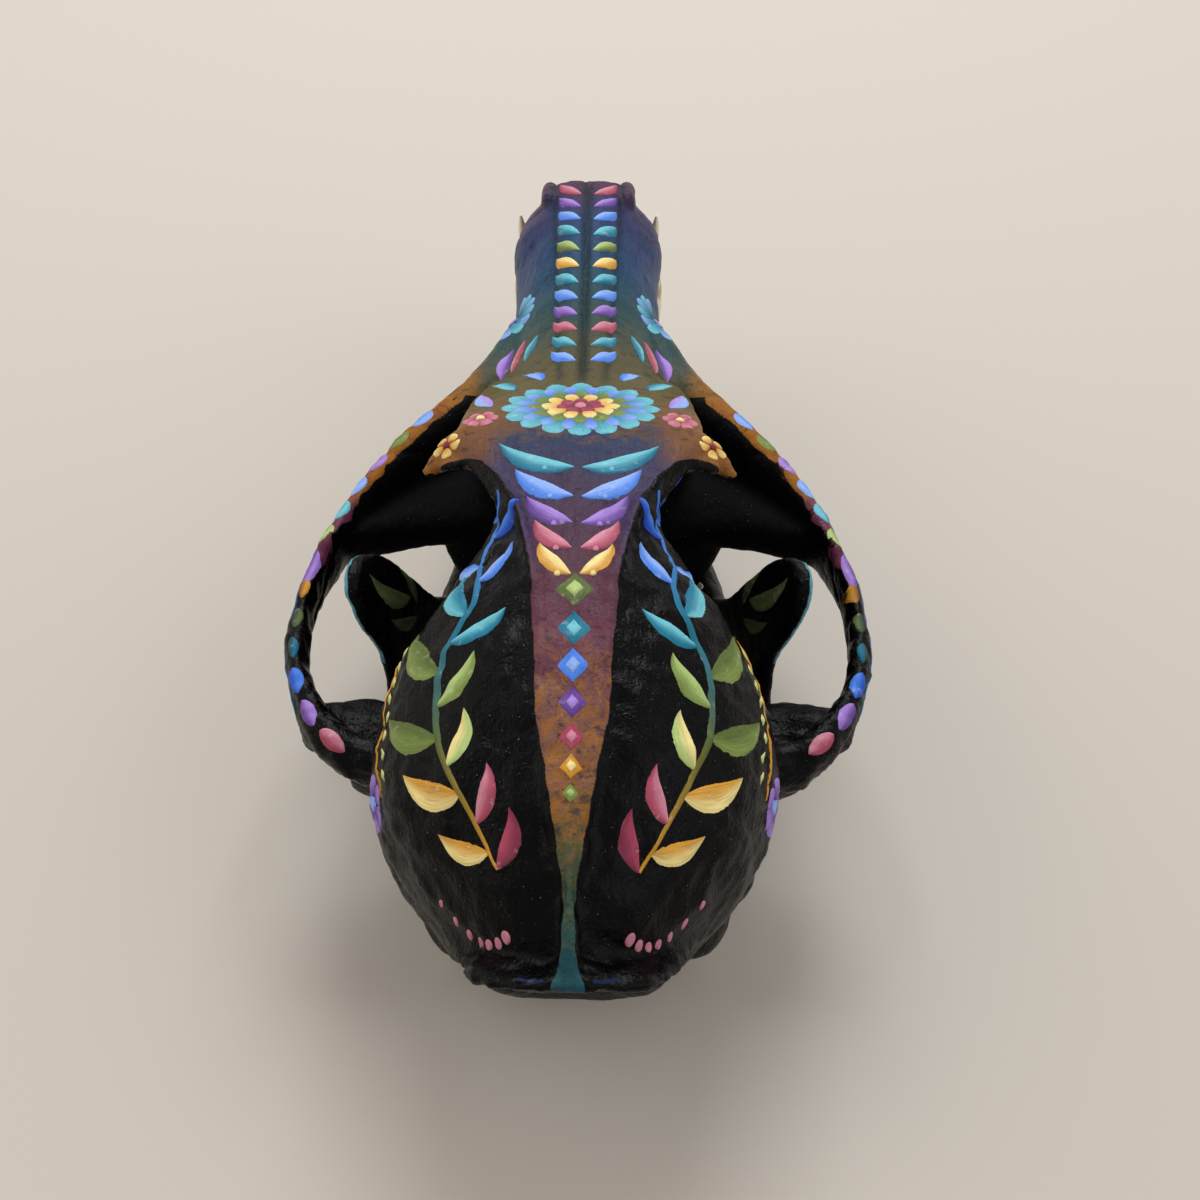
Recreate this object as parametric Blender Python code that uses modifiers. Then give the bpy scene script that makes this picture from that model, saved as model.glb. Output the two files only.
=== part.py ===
"""Skull of a red fox with its lower jaw, at life size.

The cranium and the two halves of the jaw are shaped in the skull's own frame, in millimetres:
y runs forward from the back of the nuchal crest, z runs up from the line of the upper tooth sockets,
and x runs to the animal's right. The finished skull is then tipped on to the low points of its jaw,
so that z = 0 is the surface it rests on, and the middle of its box stands on the origin.
"""

import math

import bmesh
import bpy
import numpy as np
from mathutils import Matrix, Vector

MM = 0.001

# Driving dimensions of the skull, in millimetres.
SKULL_LENGTH = 146.0
ZYGOMATIC_WIDTH = 73.8
BRAINCASE_WIDTH = 47.2
CRANIUM_HEIGHT = 43.4
PALATE_WIDTH = 41.0
BODY_LOW = (84.0, -19.6)
ANGLE_LOW = (43.0, -12.4)
FOOT_DEPTH = 0.9
MIDDLE_Y = 69.1
CUT_GAP = 0.3

# Where the nodes are parted: outlines seen from above or from the side.
ARCH_CUT = [(23.4, 83.2), (27.6, 90.6), (50, 95), (50, 44), (28.5, 46.8), (27.5, 62), (25.4, 74)]
BULLA_CUT = [(3.4, 14.6), (11.4, 13.6), (12.8, 20.6), (18.8, 21.6), (19.8, 30), (16.6, 39.5), (6, 39.5), (3.4, 30)]
BULLA_TOP = 4.6
ROSTRUM_CUT = [(84, 70), (84, 15.2), (72.2, 15.2), (72.2, -60), (170, -60), (170, 70)]

# Fineness of the bones: the grid that fuses them and the triangles they keep.
VOXEL = 0.55
RING_POINTS = 40
CRANIUM_TRIANGLES = 10200
JAW_TRIANGLES = 2800


def clear_scene():
    for old in list(bpy.data.objects):
        bpy.data.objects.remove(old, do_unlink=True)


def collection(name):
    made = bpy.data.collections.new(name)
    bpy.context.scene.collection.children.link(made)
    return made


def new_object(name, points, faces, where):
    """A mesh object from points in millimetres."""
    mesh = bpy.data.meshes.new(name)
    mesh.from_pydata([tuple(p) for p in np.asarray(points) * MM], [], faces)
    mesh.validate()
    obj = bpy.data.objects.new(name, mesh)
    where.objects.link(obj)
    return obj


def paint(name, colour, roughness):
    made = bpy.data.materials.new(name)
    made.use_nodes = True
    shader = made.node_tree.nodes["Principled BSDF"]
    shader.inputs["Base Color"].default_value = (*colour, 1)
    shader.inputs["Roughness"].default_value = roughness
    shader.inputs["Metallic"].default_value = 0
    made.diffuse_color = (*colour, 1)
    return made


# Smooth curves through rows of sizes


def smooth_rows(rows, count, along=None):
    """Rows read at count even steps of a smooth curve through them. The curve's measure is the column
    named by along, or the distance from point to point."""
    rows = np.array(rows, float)
    if along is None:
        steps = np.linalg.norm(np.diff(rows[:, :3], axis=0), axis=1)
        u = np.concatenate([[0], np.cumsum(steps)])
    else:
        u = rows[:, along]
    slope = np.gradient(rows, u, axis=0)
    at = np.linspace(u[0], u[-1], count)
    i = np.clip(np.searchsorted(u, at, side="right") - 1, 0, len(u) - 2)
    h = (u[i + 1] - u[i])[:, None]
    t = ((at - u[i]) / (u[i + 1] - u[i]))[:, None]
    return (
        rows[i] * (2 * t**3 - 3 * t**2 + 1)
        + slope[i] * h * (t**3 - 2 * t**2 + t)
        + rows[i + 1] * (3 * t**2 - 2 * t**3)
        + slope[i + 1] * h * (t**3 - t**2)
    )


def rounded(count, low_power, high_power):
    """Unit points round a superellipse whose lower and upper halves have their own squareness."""
    angle = np.linspace(0, 2 * np.pi, count, endpoint=False)
    c, s = np.cos(angle), np.sin(angle)
    power = 2 / np.where(s >= 0, high_power, low_power)
    return np.sign(c) * np.abs(c) ** power, np.sign(s) * np.abs(s) ** power


# Closed solids that the bones are made of


def loft(name, rings, where):
    """A closed skin over rings of equal count, each end drawn to the middle of its ring."""
    count, last = len(rings[0]), len(rings) - 1
    points = [p for ring in rings for p in ring]
    points += [rings[0].mean(axis=0), rings[-1].mean(axis=0)]
    first_end, last_end = len(points) - 2, len(points) - 1
    faces = []
    for r in range(last):
        for k in range(count):
            a, b = r * count + k, r * count + (k + 1) % count
            faces.append((a, b, b + count, a + count))
    for k in range(count):
        faces.append((first_end, (k + 1) % count, k))
        faces.append((last_end, last * count + k, last * count + (k + 1) % count))
    return outward(new_object(name, points, faces, where))


def outward(obj):
    work = bmesh.new()
    work.from_mesh(obj.data)
    bmesh.ops.recalc_face_normals(work, faces=work.faces)
    work.to_mesh(obj.data)
    work.free()
    return obj


def hull_loft(name, stations, where, low_power=2.4, high_power=2.1, rings=60):
    """A loft along y. Each station is (y, half width, top, height of the widest level, bottom)."""
    rows = smooth_rows(stations, rings, along=0)
    across, up = rounded(RING_POINTS, low_power, high_power)
    made = []
    for y, half_width, top, widest, bottom in rows:
        reach = np.where(up >= 0, top - widest, widest - bottom)
        made.append(np.stack([half_width * across, np.full_like(across, y), widest + reach * up], axis=1))
    return loft(name, made, where)


def sweep(name, stations, where, upward=(0, 0, 1), power=2.2, rings=40, points=24):
    """A bar along a curve, with round ends. Each station is (x, y, z, half thickness, half height)."""
    rows = smooth_rows(stations, rings)
    tangents = np.gradient(rows[:, :3], axis=0)
    tangents /= np.linalg.norm(tangents, axis=1)[:, None]
    across, up = rounded(points, power, power)
    made = []
    for row, tangent in zip(rows, tangents):
        made.append(bar_ring(row, tangent, 0, 1, across, up, upward))
    bulge = [(math.sin(a), math.cos(a)) for a in (math.radians(28), math.radians(55), math.radians(78))]
    start = [bar_ring(rows[0], tangents[0], -out, size, across, up, upward) for out, size in bulge]
    end = [bar_ring(rows[-1], tangents[-1], out, size, across, up, upward) for out, size in bulge]
    return loft(name, [*start[::-1], *made, *end], where)


def bar_ring(row, tangent, out, size, across, up, upward):
    """One ring of a bar: shrunk to size and moved along the bar by out times its half thickness."""
    side = np.cross(tangent, upward)
    side /= np.linalg.norm(side)
    raised = np.cross(side, tangent)
    middle = row[:3] + tangent * out * min(row[3], row[4])
    return middle + size * (row[3] * across[:, None] * side + row[4] * up[:, None] * raised)


def ellipsoid(name, centre, radii, where, turn=(0, 0, 0)):
    mesh = bpy.data.meshes.new(name)
    work = bmesh.new()
    bmesh.ops.create_uvsphere(work, u_segments=28, v_segments=18, radius=1)
    shape = Matrix.Translation(Vector(centre) * MM)
    for axis, angle in zip("XYZ", turn):
        shape = shape @ Matrix.Rotation(math.radians(angle), 4, axis)
    shape = shape @ Matrix.Diagonal((radii[0] * MM, radii[1] * MM, radii[2] * MM, 1))
    bmesh.ops.transform(work, matrix=shape, verts=work.verts)
    work.to_mesh(mesh)
    work.free()
    obj = bpy.data.objects.new(name, mesh)
    where.objects.link(obj)
    return outward(obj)


def box(name, low, high, where):
    mesh = bpy.data.meshes.new(name)
    work = bmesh.new()
    bmesh.ops.create_cube(work, size=1)
    low, high = Vector(low) * MM, Vector(high) * MM
    middle, span = (low + high) / 2, high - low
    bmesh.ops.transform(work, matrix=Matrix.Translation(middle) @ Matrix.Diagonal((*span, 1)), verts=work.verts)
    work.to_mesh(mesh)
    work.free()
    obj = bpy.data.objects.new(name, mesh)
    where.objects.link(obj)
    return obj


def plate(name, outline, thickness, bow, where):
    """A thin plate of one outline in (y, z). bow gives the middle of its thickness at each (y, z)."""
    edge = smooth_rows([(y, z, 0) for y, z in [*outline, outline[0]]], 90)[:-1, :2]
    count, shells = len(edge), ((-1, 0.8), (-0.8, 0.3), (0, 0), (0.8, 0.3), (1, 0.8))
    points = []
    for share, inset in shells:
        shrunk = inset_outline(edge, inset * thickness / 2)
        middle = bow(shrunk[:, 0], shrunk[:, 1])
        points.append(np.stack([middle + share * thickness / 2, shrunk[:, 0], shrunk[:, 1]], axis=1))
    points = np.concatenate(points)
    faces = [
        (r * count + k, r * count + (k + 1) % count, (r + 1) * count + (k + 1) % count, (r + 1) * count + k)
        for r in range(len(shells) - 1)
        for k in range(count)
    ]
    last = (len(shells) - 1) * count
    for a, b, c in flat_triangles(points[:count, 1:]):
        faces.append((a, b, c))
        faces.append((last + c, last + b, last + a))
    return outward(new_object(name, points, faces, where))


def flat_triangles(outline):
    """Triangles that fill an outline given in two coordinates."""
    mesh = bmesh.new()
    loop = [mesh.verts.new((u, v, 0)) for u, v in outline]
    mesh.verts.index_update()
    for a, b in zip(loop, loop[1:] + loop[:1]):
        mesh.edges.new((a, b))
    filled = bmesh.ops.triangle_fill(mesh, use_beauty=True, use_dissolve=False, edges=mesh.edges)
    found = [tuple(v.index for v in f.verts) for f in filled["geom"] if isinstance(f, bmesh.types.BMFace)]
    mesh.free()
    return found


def inset_outline(edge, distance):
    """The outline moved inwards by a distance."""
    tangent = np.roll(edge, -1, axis=0) - np.roll(edge, 1, axis=0)
    tangent /= np.linalg.norm(tangent, axis=1)[:, None]
    normal = np.stack([-tangent[:, 1], tangent[:, 0]], axis=1)
    area = np.sum(edge[:, 0] * np.roll(edge[:, 1], -1) - np.roll(edge[:, 0], -1) * edge[:, 1])
    return edge + normal * distance * (1 if area > 0 else -1)


def mirrored(obj, where):
    """The same piece on the animal's left."""
    twin = bpy.data.objects.new(obj.name + "_twin", obj.data.copy())
    work = bmesh.new()
    work.from_mesh(twin.data)
    bmesh.ops.transform(work, matrix=Matrix.Diagonal((-1, 1, 1, 1)), verts=work.verts)
    bmesh.ops.reverse_faces(work, faces=work.faces)
    work.to_mesh(twin.data)
    work.free()
    where.objects.link(twin)
    return twin


# Fusing, smoothing and cutting


def applied(obj):
    """The object with its modifiers made part of its mesh."""
    bpy.context.view_layer.update()
    graph = bpy.context.evaluated_depsgraph_get()
    mesh = bpy.data.meshes.new_from_object(obj.evaluated_get(graph))
    obj.modifiers.clear()
    obj.data = mesh
    return obj


def joined(name, pieces, where):
    """Overlapping closed pieces as one object, for the remesh that fuses them."""
    work = bmesh.new()
    for piece in pieces:
        work.from_mesh(piece.data)
    mesh = bpy.data.meshes.new(name)
    work.to_mesh(mesh)
    work.free()
    for piece in pieces:
        bpy.data.objects.remove(piece, do_unlink=True)
    obj = bpy.data.objects.new(name, mesh)
    where.objects.link(obj)
    return obj


def fused(obj, smoothing):
    """One skin over overlapping pieces, with soft fillets where they meet."""
    remesh = obj.modifiers.new("fuse", "REMESH")
    remesh.mode = "VOXEL"
    remesh.voxel_size = VOXEL * MM
    remesh.adaptivity = 0
    if smoothing:
        smooth = obj.modifiers.new("fillets", "SMOOTH")
        smooth.factor = 0.5
        smooth.iterations = smoothing
    return applied(obj)


def carve(obj, cutter, solver="EXACT"):
    cut = obj.modifiers.new("carve", "BOOLEAN")
    cut.operation = "DIFFERENCE"
    cut.solver = solver
    cut.object = cutter
    return applied(obj)


def thinned(obj, triangles):
    """Fewer triangles, most of them kept where the bone curves."""
    faces = sum(len(f.vertices) - 2 for f in obj.data.polygons)
    thin = obj.modifiers.new("thin", "DECIMATE")
    thin.ratio = min(1.0, triangles / faces)
    return applied(obj)


def largest_body(obj):
    """Only the largest closed surface of the mesh."""
    work = bmesh.new()
    work.from_mesh(obj.data)
    seen, bodies = set(), []
    for start in work.verts:
        if start.index in seen:
            continue
        body, front = [], [start]
        seen.add(start.index)
        while front:
            vert = front.pop()
            body.append(vert)
            for edge in vert.link_edges:
                other = edge.other_vert(vert)
                if other.index not in seen:
                    seen.add(other.index)
                    front.append(other)
        bodies.append(body)
    bodies.sort(key=len)
    for body in bodies[:-1]:
        bmesh.ops.delete(work, geom=body, context="VERTS")
    work.to_mesh(obj.data)
    work.free()
    return obj


# The cranium


def braincase(where):
    """Brain box: domed, widest over the ears, drawn in behind the eyes and narrowing to the crest."""
    half, top = BRAINCASE_WIDTH / 2, CRANIUM_HEIGHT
    return [
        hull_loft(
            "brain_box",
            [
                (3.6, 6.3, top - 9.6, 28.5, 23.5),
                (6.8, 10.4, top - 7.4, 25, 14),
                (10.0, 14.0, top - 5.8, 22.5, 8),
                (14.0, 17.4, top - 4.3, 22, 7),
                (18.0, 20.3, top - 2.9, 21.5, 6.5),
                (23.0, 22.5, top - 1.6, 21.5, 6.5),
                (30.0, half, top - 0.6, 22, 6.5),
                (37.0, half - 1.0, top - 0.4, 23, 7),
                (44.0, half - 3.8, top - 1.0, 24, 8),
                (50.0, half - 7.6, top - 2.0, 25, 9.5),
                (55.0, half - 11.0, top - 3.0, 27, 11.5),
                (60.0, half - 13.3, top - 3.9, 29, 13),
                (66.0, half - 13.8, top - 4.8, 30, 14),
            ],
            where,
            high_power=2.1,
        ),
        hull_loft(
            "skull_base",
            [(9, 9, 14, 9, 5.5), (20, 8, 14, 8, 4.5), (34, 7.5, 14, 8, 4.5), (50, 7, 14, 8, 5), (66, 6.5, 14, 9, 5)],
            where,
        ),
    ]


def frontal(where):
    """Roof over the eyes with its two pointed processes, on the narrow wall between the orbits."""
    top = CRANIUM_HEIGHT
    roof = hull_loft(
        "frontal_roof",
        [
            (55, 8.8, top - 3.6, 37.0, 32),
            (60, 10.2, top - 4.2, 36.6, 32),
            (65, 13.2, top - 5.0, 35.8, 31.5),
            (70, 15.4, top - 6.4, 34.2, 29.5),
            (75, 15.6, top - 8.8, 31.8, 26.5),
            (80, 15.2, top - 11.8, 28.6, 22),
            (85, 14.6, top - 14.6, 25.2, 17),
            (90, 13.2, top - 17.4, 21.5, 13),
        ],
        where,
        low_power=2.0,
        high_power=2.5,
    )
    wall = hull_loft(
        "orbit_wall",
        [(52, 8, 36, 22, 8), (60, 7.4, 36, 20, 7), (70, 8.2, 34, 18, 5), (80, 10.5, 28, 14, 3), (88, 12, 22, 12, 2)],
        where,
    )
    process = sweep(
        "postorbital_process",
        [(5, 71.0, 32.4, 4.0, 2.4), (12.0, 70.6, 33.4, 4.0, 2.2), (16.0, 69.9, 32.9, 2.4, 1.3), (19.2, 68.2, 31.0, 0.8, 0.6)],
        where,
    )
    return [roof, wall, process, mirrored(process, where)]


def muzzle(where):
    """Upper jaw: the long narrow snout over the palate, and the cheeks that hold the big teeth."""
    snout = hull_loft(
        "snout",
        [
            (83, 14.6, 30.0, 14, 2),
            (88, 14.9, 27.4, 13, 1),
            (94, 14.6, 25.0, 11, 0.5),
            (101, 13.4, 22.8, 8.5, 0),
            (110, 12.0, 20.8, 6.5, 0),
            (119, 11.2, 19.2, 5.6, 0),
            (127, 11.3, 17.8, 5.2, 0),
            (134, 11.9, 16.2, 5.2, 0),
            (139, 10.8, 14.6, 5.0, 0),
            (143, 8.2, 11.8, 4.4, 0),
            (SKULL_LENGTH - 0.5, 5.6, 6.0, 3, 0),
        ],
        where,
        low_power=3.0,
        high_power=1.8,
    )
    half = PALATE_WIDTH / 2
    cheek = hull_loft(
        "cheeks",
        [
            (73, half - 2.9, 5.0, 2.5, -0.2),
            (77, half - 0.7, 8.0, 3.5, -0.6),
            (83, half + 0.1, 12.0, 5.0, -0.6),
            (90, half - 0.9, 13.6, 5.0, -0.5),
            (97, half - 4.1, 13.6, 4.5, -0.3),
            (106, half - 7.9, 12.5, 4.5, 0),
        ],
        where,
        low_power=3.0,
        high_power=2.0,
    )
    nasals = hull_loft(
        "nasals",
        [(86, 5.6, 28.2, 24, 21), (95, 5.2, 24.9, 20, 16), (110, 4.6, 21.2, 16, 13), (130, 5.0, 17.7, 14, 11), (141.6, 5.8, 14.4, 12.5, 11)],
        where,
        high_power=2.6,
    )
    rim = sweep(
        "nostril_rim",
        [(6.0, 137.6, 13.4, 1.5, 1.7), (6.2, 142.8, 10.6, 1.4, 1.8), (5.9, 144.9, 5.0, 1.4, 1.6)],
        where,
    )
    return [snout, cheek, nasals, rim, mirrored(rim, where)]


def zygomatic_arch(where):
    """Cheek bone: a thin tall bar that bows out from the upper jaw and turns in to the brain box."""
    out = ZYGOMATIC_WIDTH / 2 - 1.4
    arch = sweep(
        "arch",
        [
            (8.4, 111.0, 10.0, 3.3, 4.4),
            (11.2, 104.4, 10.2, 3.7, 5.0),
            (14.4, 98.4, 10.2, 3.7, 5.6),
            (19.2, 92.2, 10.4, 3.4, 5.8),
            (25.2, 84.8, 11.0, 2.7, 5.6),
            (29.8, 77.0, 12.2, 1.9, 5.1),
            (32.8, 69.0, 14.0, 1.5, 4.6),
            (out - 0.4, 59.5, 16.2, 1.35, 3.3),
            (out, 51.5, 17.4, 1.4, 2.8),
            (out - 1.3, 44.0, 18.2, 1.6, 3.0),
            (out - 4.4, 38.2, 18.2, 2.0, 3.2),
            (26.6, 34.6, 17.6, 2.6, 3.4),
            (20.0, 33.4, 17.0, 3.6, 3.8),
        ],
        where,
        rings=70,
    )
    orbital_point = ellipsoid("orbital_point", (33.4, 66.4, 17.2), (1.2, 3.0, 2.4), where, turn=(0, 0, 20))
    floor = sweep(
        "orbit_floor",
        [(12, 82.5, 7.0, 7.5, 4.0), (18, 81.0, 7.4, 6.4, 3.6), (24, 77.6, 8.8, 4.6, 3.4), (28.6, 73.6, 10.6, 2.8, 3.2), (31.4, 70.4, 12.6, 1.4, 3.2)],
        where,
    )
    socket_bar = sweep(
        "joint_socket",
        [(12, 38, 12.6, 5.0, 3.2), (20, 39, 13.6, 5.4, 2.7), (27, 39.6, 14.8, 4.8, 2.4), (32, 40.0, 16.0, 3.2, 2.0)],
        where,
    )
    stop = ellipsoid("postglenoid", (23.0, 36.2, 9.4), (5.6, 1.6, 4.8), where)
    pieces = [arch, orbital_point, floor, socket_bar, stop]
    return pieces + [mirrored(piece, where) for piece in pieces]


def hind_end(where):
    """Occiput: the condyles, the ear bones and their processes, and the crests that the neck pulls on."""
    condyle = ellipsoid("condyle", (7.8, 12.5, 11.4), (4.1, 4.5, 6.4), where, turn=(0, 24, -20))
    bulla = ellipsoid("bulla", (11.8, 26.0, 4.4), (7.4, 11.2, 8.0), where, turn=(0, 0, 14))
    mastoid = ellipsoid("mastoid", (18.4, 23.0, 12.2), (3.0, 4.2, 5.2), where)
    ear_roof = ellipsoid("ear_roof", (20.0, 30.0, 14.0), (4.0, 7.0, 4.0), where)
    paroccipital = sweep(
        "paroccipital",
        [(14.0, 19.6, 11, 2.8, 3.0), (15.0, 18.2, 6.5, 2.0, 2.4), (15.5, 17.4, 2.0, 0.9, 1.2)],
        where,
        upward=(0, 1, 0),
    )
    nuchal = sweep(
        "nuchal_crest",
        [
            (18.2, 22.4, 12.4, 1.2, 2.0),
            (15.0, 16.8, 16.8, 1.0, 2.3),
            (12.0, 11.4, 21.8, 0.9, 2.5),
            (9.4, 6.4, 27.4, 0.9, 2.7),
            (7.2, 2.8, 31.6, 0.9, 2.8),
            (4.4, 1.5, 33.5, 0.9, 2.8),
            (0.0, 1.4, 34.0, 1.0, 2.8),
        ],
        where,
        upward=(0, -0.75, 0.66),
    )
    occiput = ellipsoid("occiput", (0, 13.2, 18.6), (9.0, 4.2, 12.4), where, turn=(30, 0, 0))
    pieces = [condyle, bulla, mastoid, ear_roof, paroccipital, nuchal]
    pieces += [mirrored(piece, where) for piece in pieces]
    sagittal = sweep(
        "sagittal_crest",
        [(0, 1.0, 34.4, 1.0, 2.0), (0, 6, 36.4, 0.8, 2.2), (0, 12, 38.6, 0.8, 2.0), (0, 20, 40.6, 1.3, 1.4), (0, 28, 41.8, 1.6, 0.9)],
        where,
    )
    return [*pieces, sagittal, occiput]


def temporal_ridges(where):
    """Low lines that part the jaw muscles: a narrow V from the crest out to the postorbital points."""
    top = CRANIUM_HEIGHT
    ridge = sweep(
        "temporal_ridge",
        [
            (0.5, 10, top - 5.4, 0.8, 0.8),
            (2.0, 19, top - 2.6, 0.8, 0.8),
            (3.4, 33, top - 0.9, 0.8, 0.8),
            (4.4, 44, top - 1.5, 0.8, 0.8),
            (6.1, 52, top - 3.0, 0.8, 0.8),
            (8.6, 59.6, top - 4.9, 0.8, 0.8),
            (12.2, 65.8, top - 7.2, 0.8, 0.8),
            (16.8, 67.6, top - 10.4, 0.7, 0.7),
        ],
        where,
    )
    return [ridge, mirrored(ridge, where)]


def pterygoids(where):
    """Thin wings on each side of the inner nostrils."""
    wing = plate(
        "pterygoid_wing",
        [(50, 9), (48.5, 1.5), (50.5, 0.2), (55, 2.2), (64, 1.2), (74, 1.0), (76, 6), (70, 11), (58, 11)],
        2.0,
        lambda y, z: 6.8 + 0.12 * (z - 5),
        where,
    )
    return [wing, mirrored(wing, where)]


def cranium_cutters(where):
    """Openings: nostril, inner nostrils, foramen magnum, ear canals, jaw sockets and small foramina."""
    nostril = sweep(
        "nostril",
        [(0, 152, 9.0, 5.6, 6.4), (0, 145, 8.8, 5.0, 5.6), (0, 136, 9.2, 4.4, 5.0), (0, 124, 9.6, 3.4, 3.8)],
        where,
        power=2.4,
    )
    inner = sweep(
        "inner_nostrils",
        [(0, 46, -0.5, 5.2, 4.4), (0, 60, 1.8, 5.0, 4.6), (0, 72, 4.8, 4.4, 2.4), (0, 80, 5.2, 3.4, 1.6)],
        where,
        power=2.6,
    )
    foramen = ellipsoid("foramen_magnum", (0, 5.0, 15.8), (6.4, 9.0, 5.2), where)
    ear = ellipsoid("ear_canal", (19.4, 28.0, 7.0), (4.2, 2.6, 2.6), where)
    infraorbital = sweep(
        "infraorbital", [(17.5, 106, 9.0, 1.2, 2.0), (14.4, 99, 9.6, 1.2, 2.0), (11.5, 92, 10.4, 0.9, 1.4)], where
    )
    fissure = ellipsoid("palatal_fissure", (2.4, 135.5, -0.4), (1.2, 4.6, 2.2), where)
    socket = sweep(
        "jaw_socket",
        [(18.5, 41.4, 9.4, 3.3, 3.3), (26.0, 41.4, 9.6, 3.4, 3.4), (34.5, 41.4, 9.8, 3.3, 3.3)],
        where,
    )
    fang_notch = sweep(
        "fang_notch",
        [(8.6, 139.0, -8, 2.9, 3.1), (10.4, 140.0, -1, 2.7, 2.9), (12.3, 140.6, 8, 2.5, 2.7), (13.8, 141.0, 16, 2.2, 2.4)],
        where,
        upward=(0, 1, 0),
    )
    pairs = [ear, infraorbital, fissure, socket, fang_notch]
    return [nostril, inner, foramen, *pairs, *[mirrored(piece, where) for piece in pairs]]


# Teeth. Each is sunk into its jaw by its root.


def fang(name, root, tip, bend, thick, wide, where):
    """A canine or incisor: a tapered crown that curves from its root to its tip."""
    root, tip, bend = np.array(root, float), np.array(tip, float), np.array(bend, float)
    stations = []
    for share, size in ((-0.22, 0.86), (0.0, 1.0), (0.3, 0.9), (0.6, 0.66), (0.85, 0.36), (1.0, 0.12)):
        middle = root + (tip - root) * share + bend * 4 * max(share, 0) * (1 - max(share, 0))
        stations.append((*middle, thick / 2 * size, wide / 2 * size))
    return sweep(name, stations, where, upward=(0, 1, 0), rings=16, points=12)


def blade(name, centre, length, width, cusps, where, turn=0.0, rise=1.0):
    """A cheek tooth: a narrow crown whose cutting edge runs through its cusps.

    Each cusp is (place along the tooth from -1 at the back to 1 at the front, height)."""
    spots = np.linspace(-1, 1, 17)
    edge = np.interp(spots, [c[0] for c in cusps], [c[1] for c in cusps])
    rings = []
    across, up = rounded(12, 2.2, 1.6)
    for spot, height in zip(spots, edge):
        body = max(0.16, (1 - abs(spot) ** 2.4)) ** 0.5
        y = np.full(12, spot * length / 2)
        x = across * width / 2 * body * np.where(up > 0, 1 - 0.55 * up, 1)
        z = np.where(up >= 0, up * height, up * 2.4) * rise
        rings.append(np.stack([x, y, z], axis=1))
    c, s = math.cos(math.radians(turn)), math.sin(math.radians(turn))
    spin = np.array([[c, -s, 0], [s, c, 0], [0, 0, 1]])
    return loft(name, [ring @ spin.T + np.array(centre) for ring in rings], where)


def upper_teeth(where):
    teeth = []
    for n, (x, y, size) in enumerate([(1.5, 145.2, 2.6), (4.2, 144.6, 2.9), (7.0, 142.6, 3.6)]):
        teeth.append(
            fang(f"incisor_{n}", (x, y, 0.6), (x * 1.02, y + 0.5, -4.2 - n * 0.9), (0, 0.5, 0), size * 0.9, size, where)
        )
    teeth.append(fang("canine", (9.8, 132.6, 1.5), (10.8, 132.2, -17.0), (0.3, 1.7, 0), 4.2, 6.2, where))
    teeth.append(blade("premolar_1", (10.1, 127.4, 0.4), 4.6, 3.0, [(-1, 0.8), (0.1, 3.4), (1, 0.8)], where, rise=-1))
    teeth.append(
        blade("premolar_2", (10.6, 119.2, 0.4), 8.4, 3.4, [(-1, 1.0), (0.15, 5.8), (1, 0.9)], where, turn=3, rise=-1)
    )
    teeth.append(
        blade(
            "premolar_3", (12.2, 109.2, 0.4), 9.2, 3.6, [(-1, 1.2), (-0.6, 2.4), (0.15, 6.4), (1, 0.9)], where, turn=10, rise=-1
        )
    )
    teeth.append(
        blade(
            "carnassial",
            (16.3, 96.8, 0.0),
            14.2,
            5.4,
            [(-1, 2.8), (-0.6, 5.0), (-0.25, 4.0), (0.2, 8.2), (0.7, 3.0), (1, 1.6)],
            where,
            turn=20,
            rise=-1,
        )
    )
    teeth.append(ellipsoid("carnassial_inner", (12.4, 101.0, -1.0), (2.2, 2.4, 2.6), where))
    teeth.append(
        blade("molar_1_outer", (17.6, 85.4, -0.2), 9.0, 5.2, [(-1, 1.8), (-0.45, 4.0), (0, 2.8), (0.45, 4.6), (1, 1.8)], where, turn=4, rise=-1)
    )
    teeth.append(ellipsoid("molar_1_inner", (12.9, 84.0, -0.8), (4.4, 3.6, 2.6), where, turn=(0, 0, -14)))
    teeth.append(
        blade("molar_2_outer", (16.6, 77.6, -0.2), 5.6, 4.0, [(-1, 1.2), (-0.4, 2.4), (0.4, 2.8), (1, 1.2)], where, turn=-6, rise=-1)
    )
    teeth.append(ellipsoid("molar_2_inner", (13.4, 77.0, -0.6), (3.2, 2.3, 1.9), where))
    return teeth + [mirrored(tooth, where) for tooth in teeth]


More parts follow.
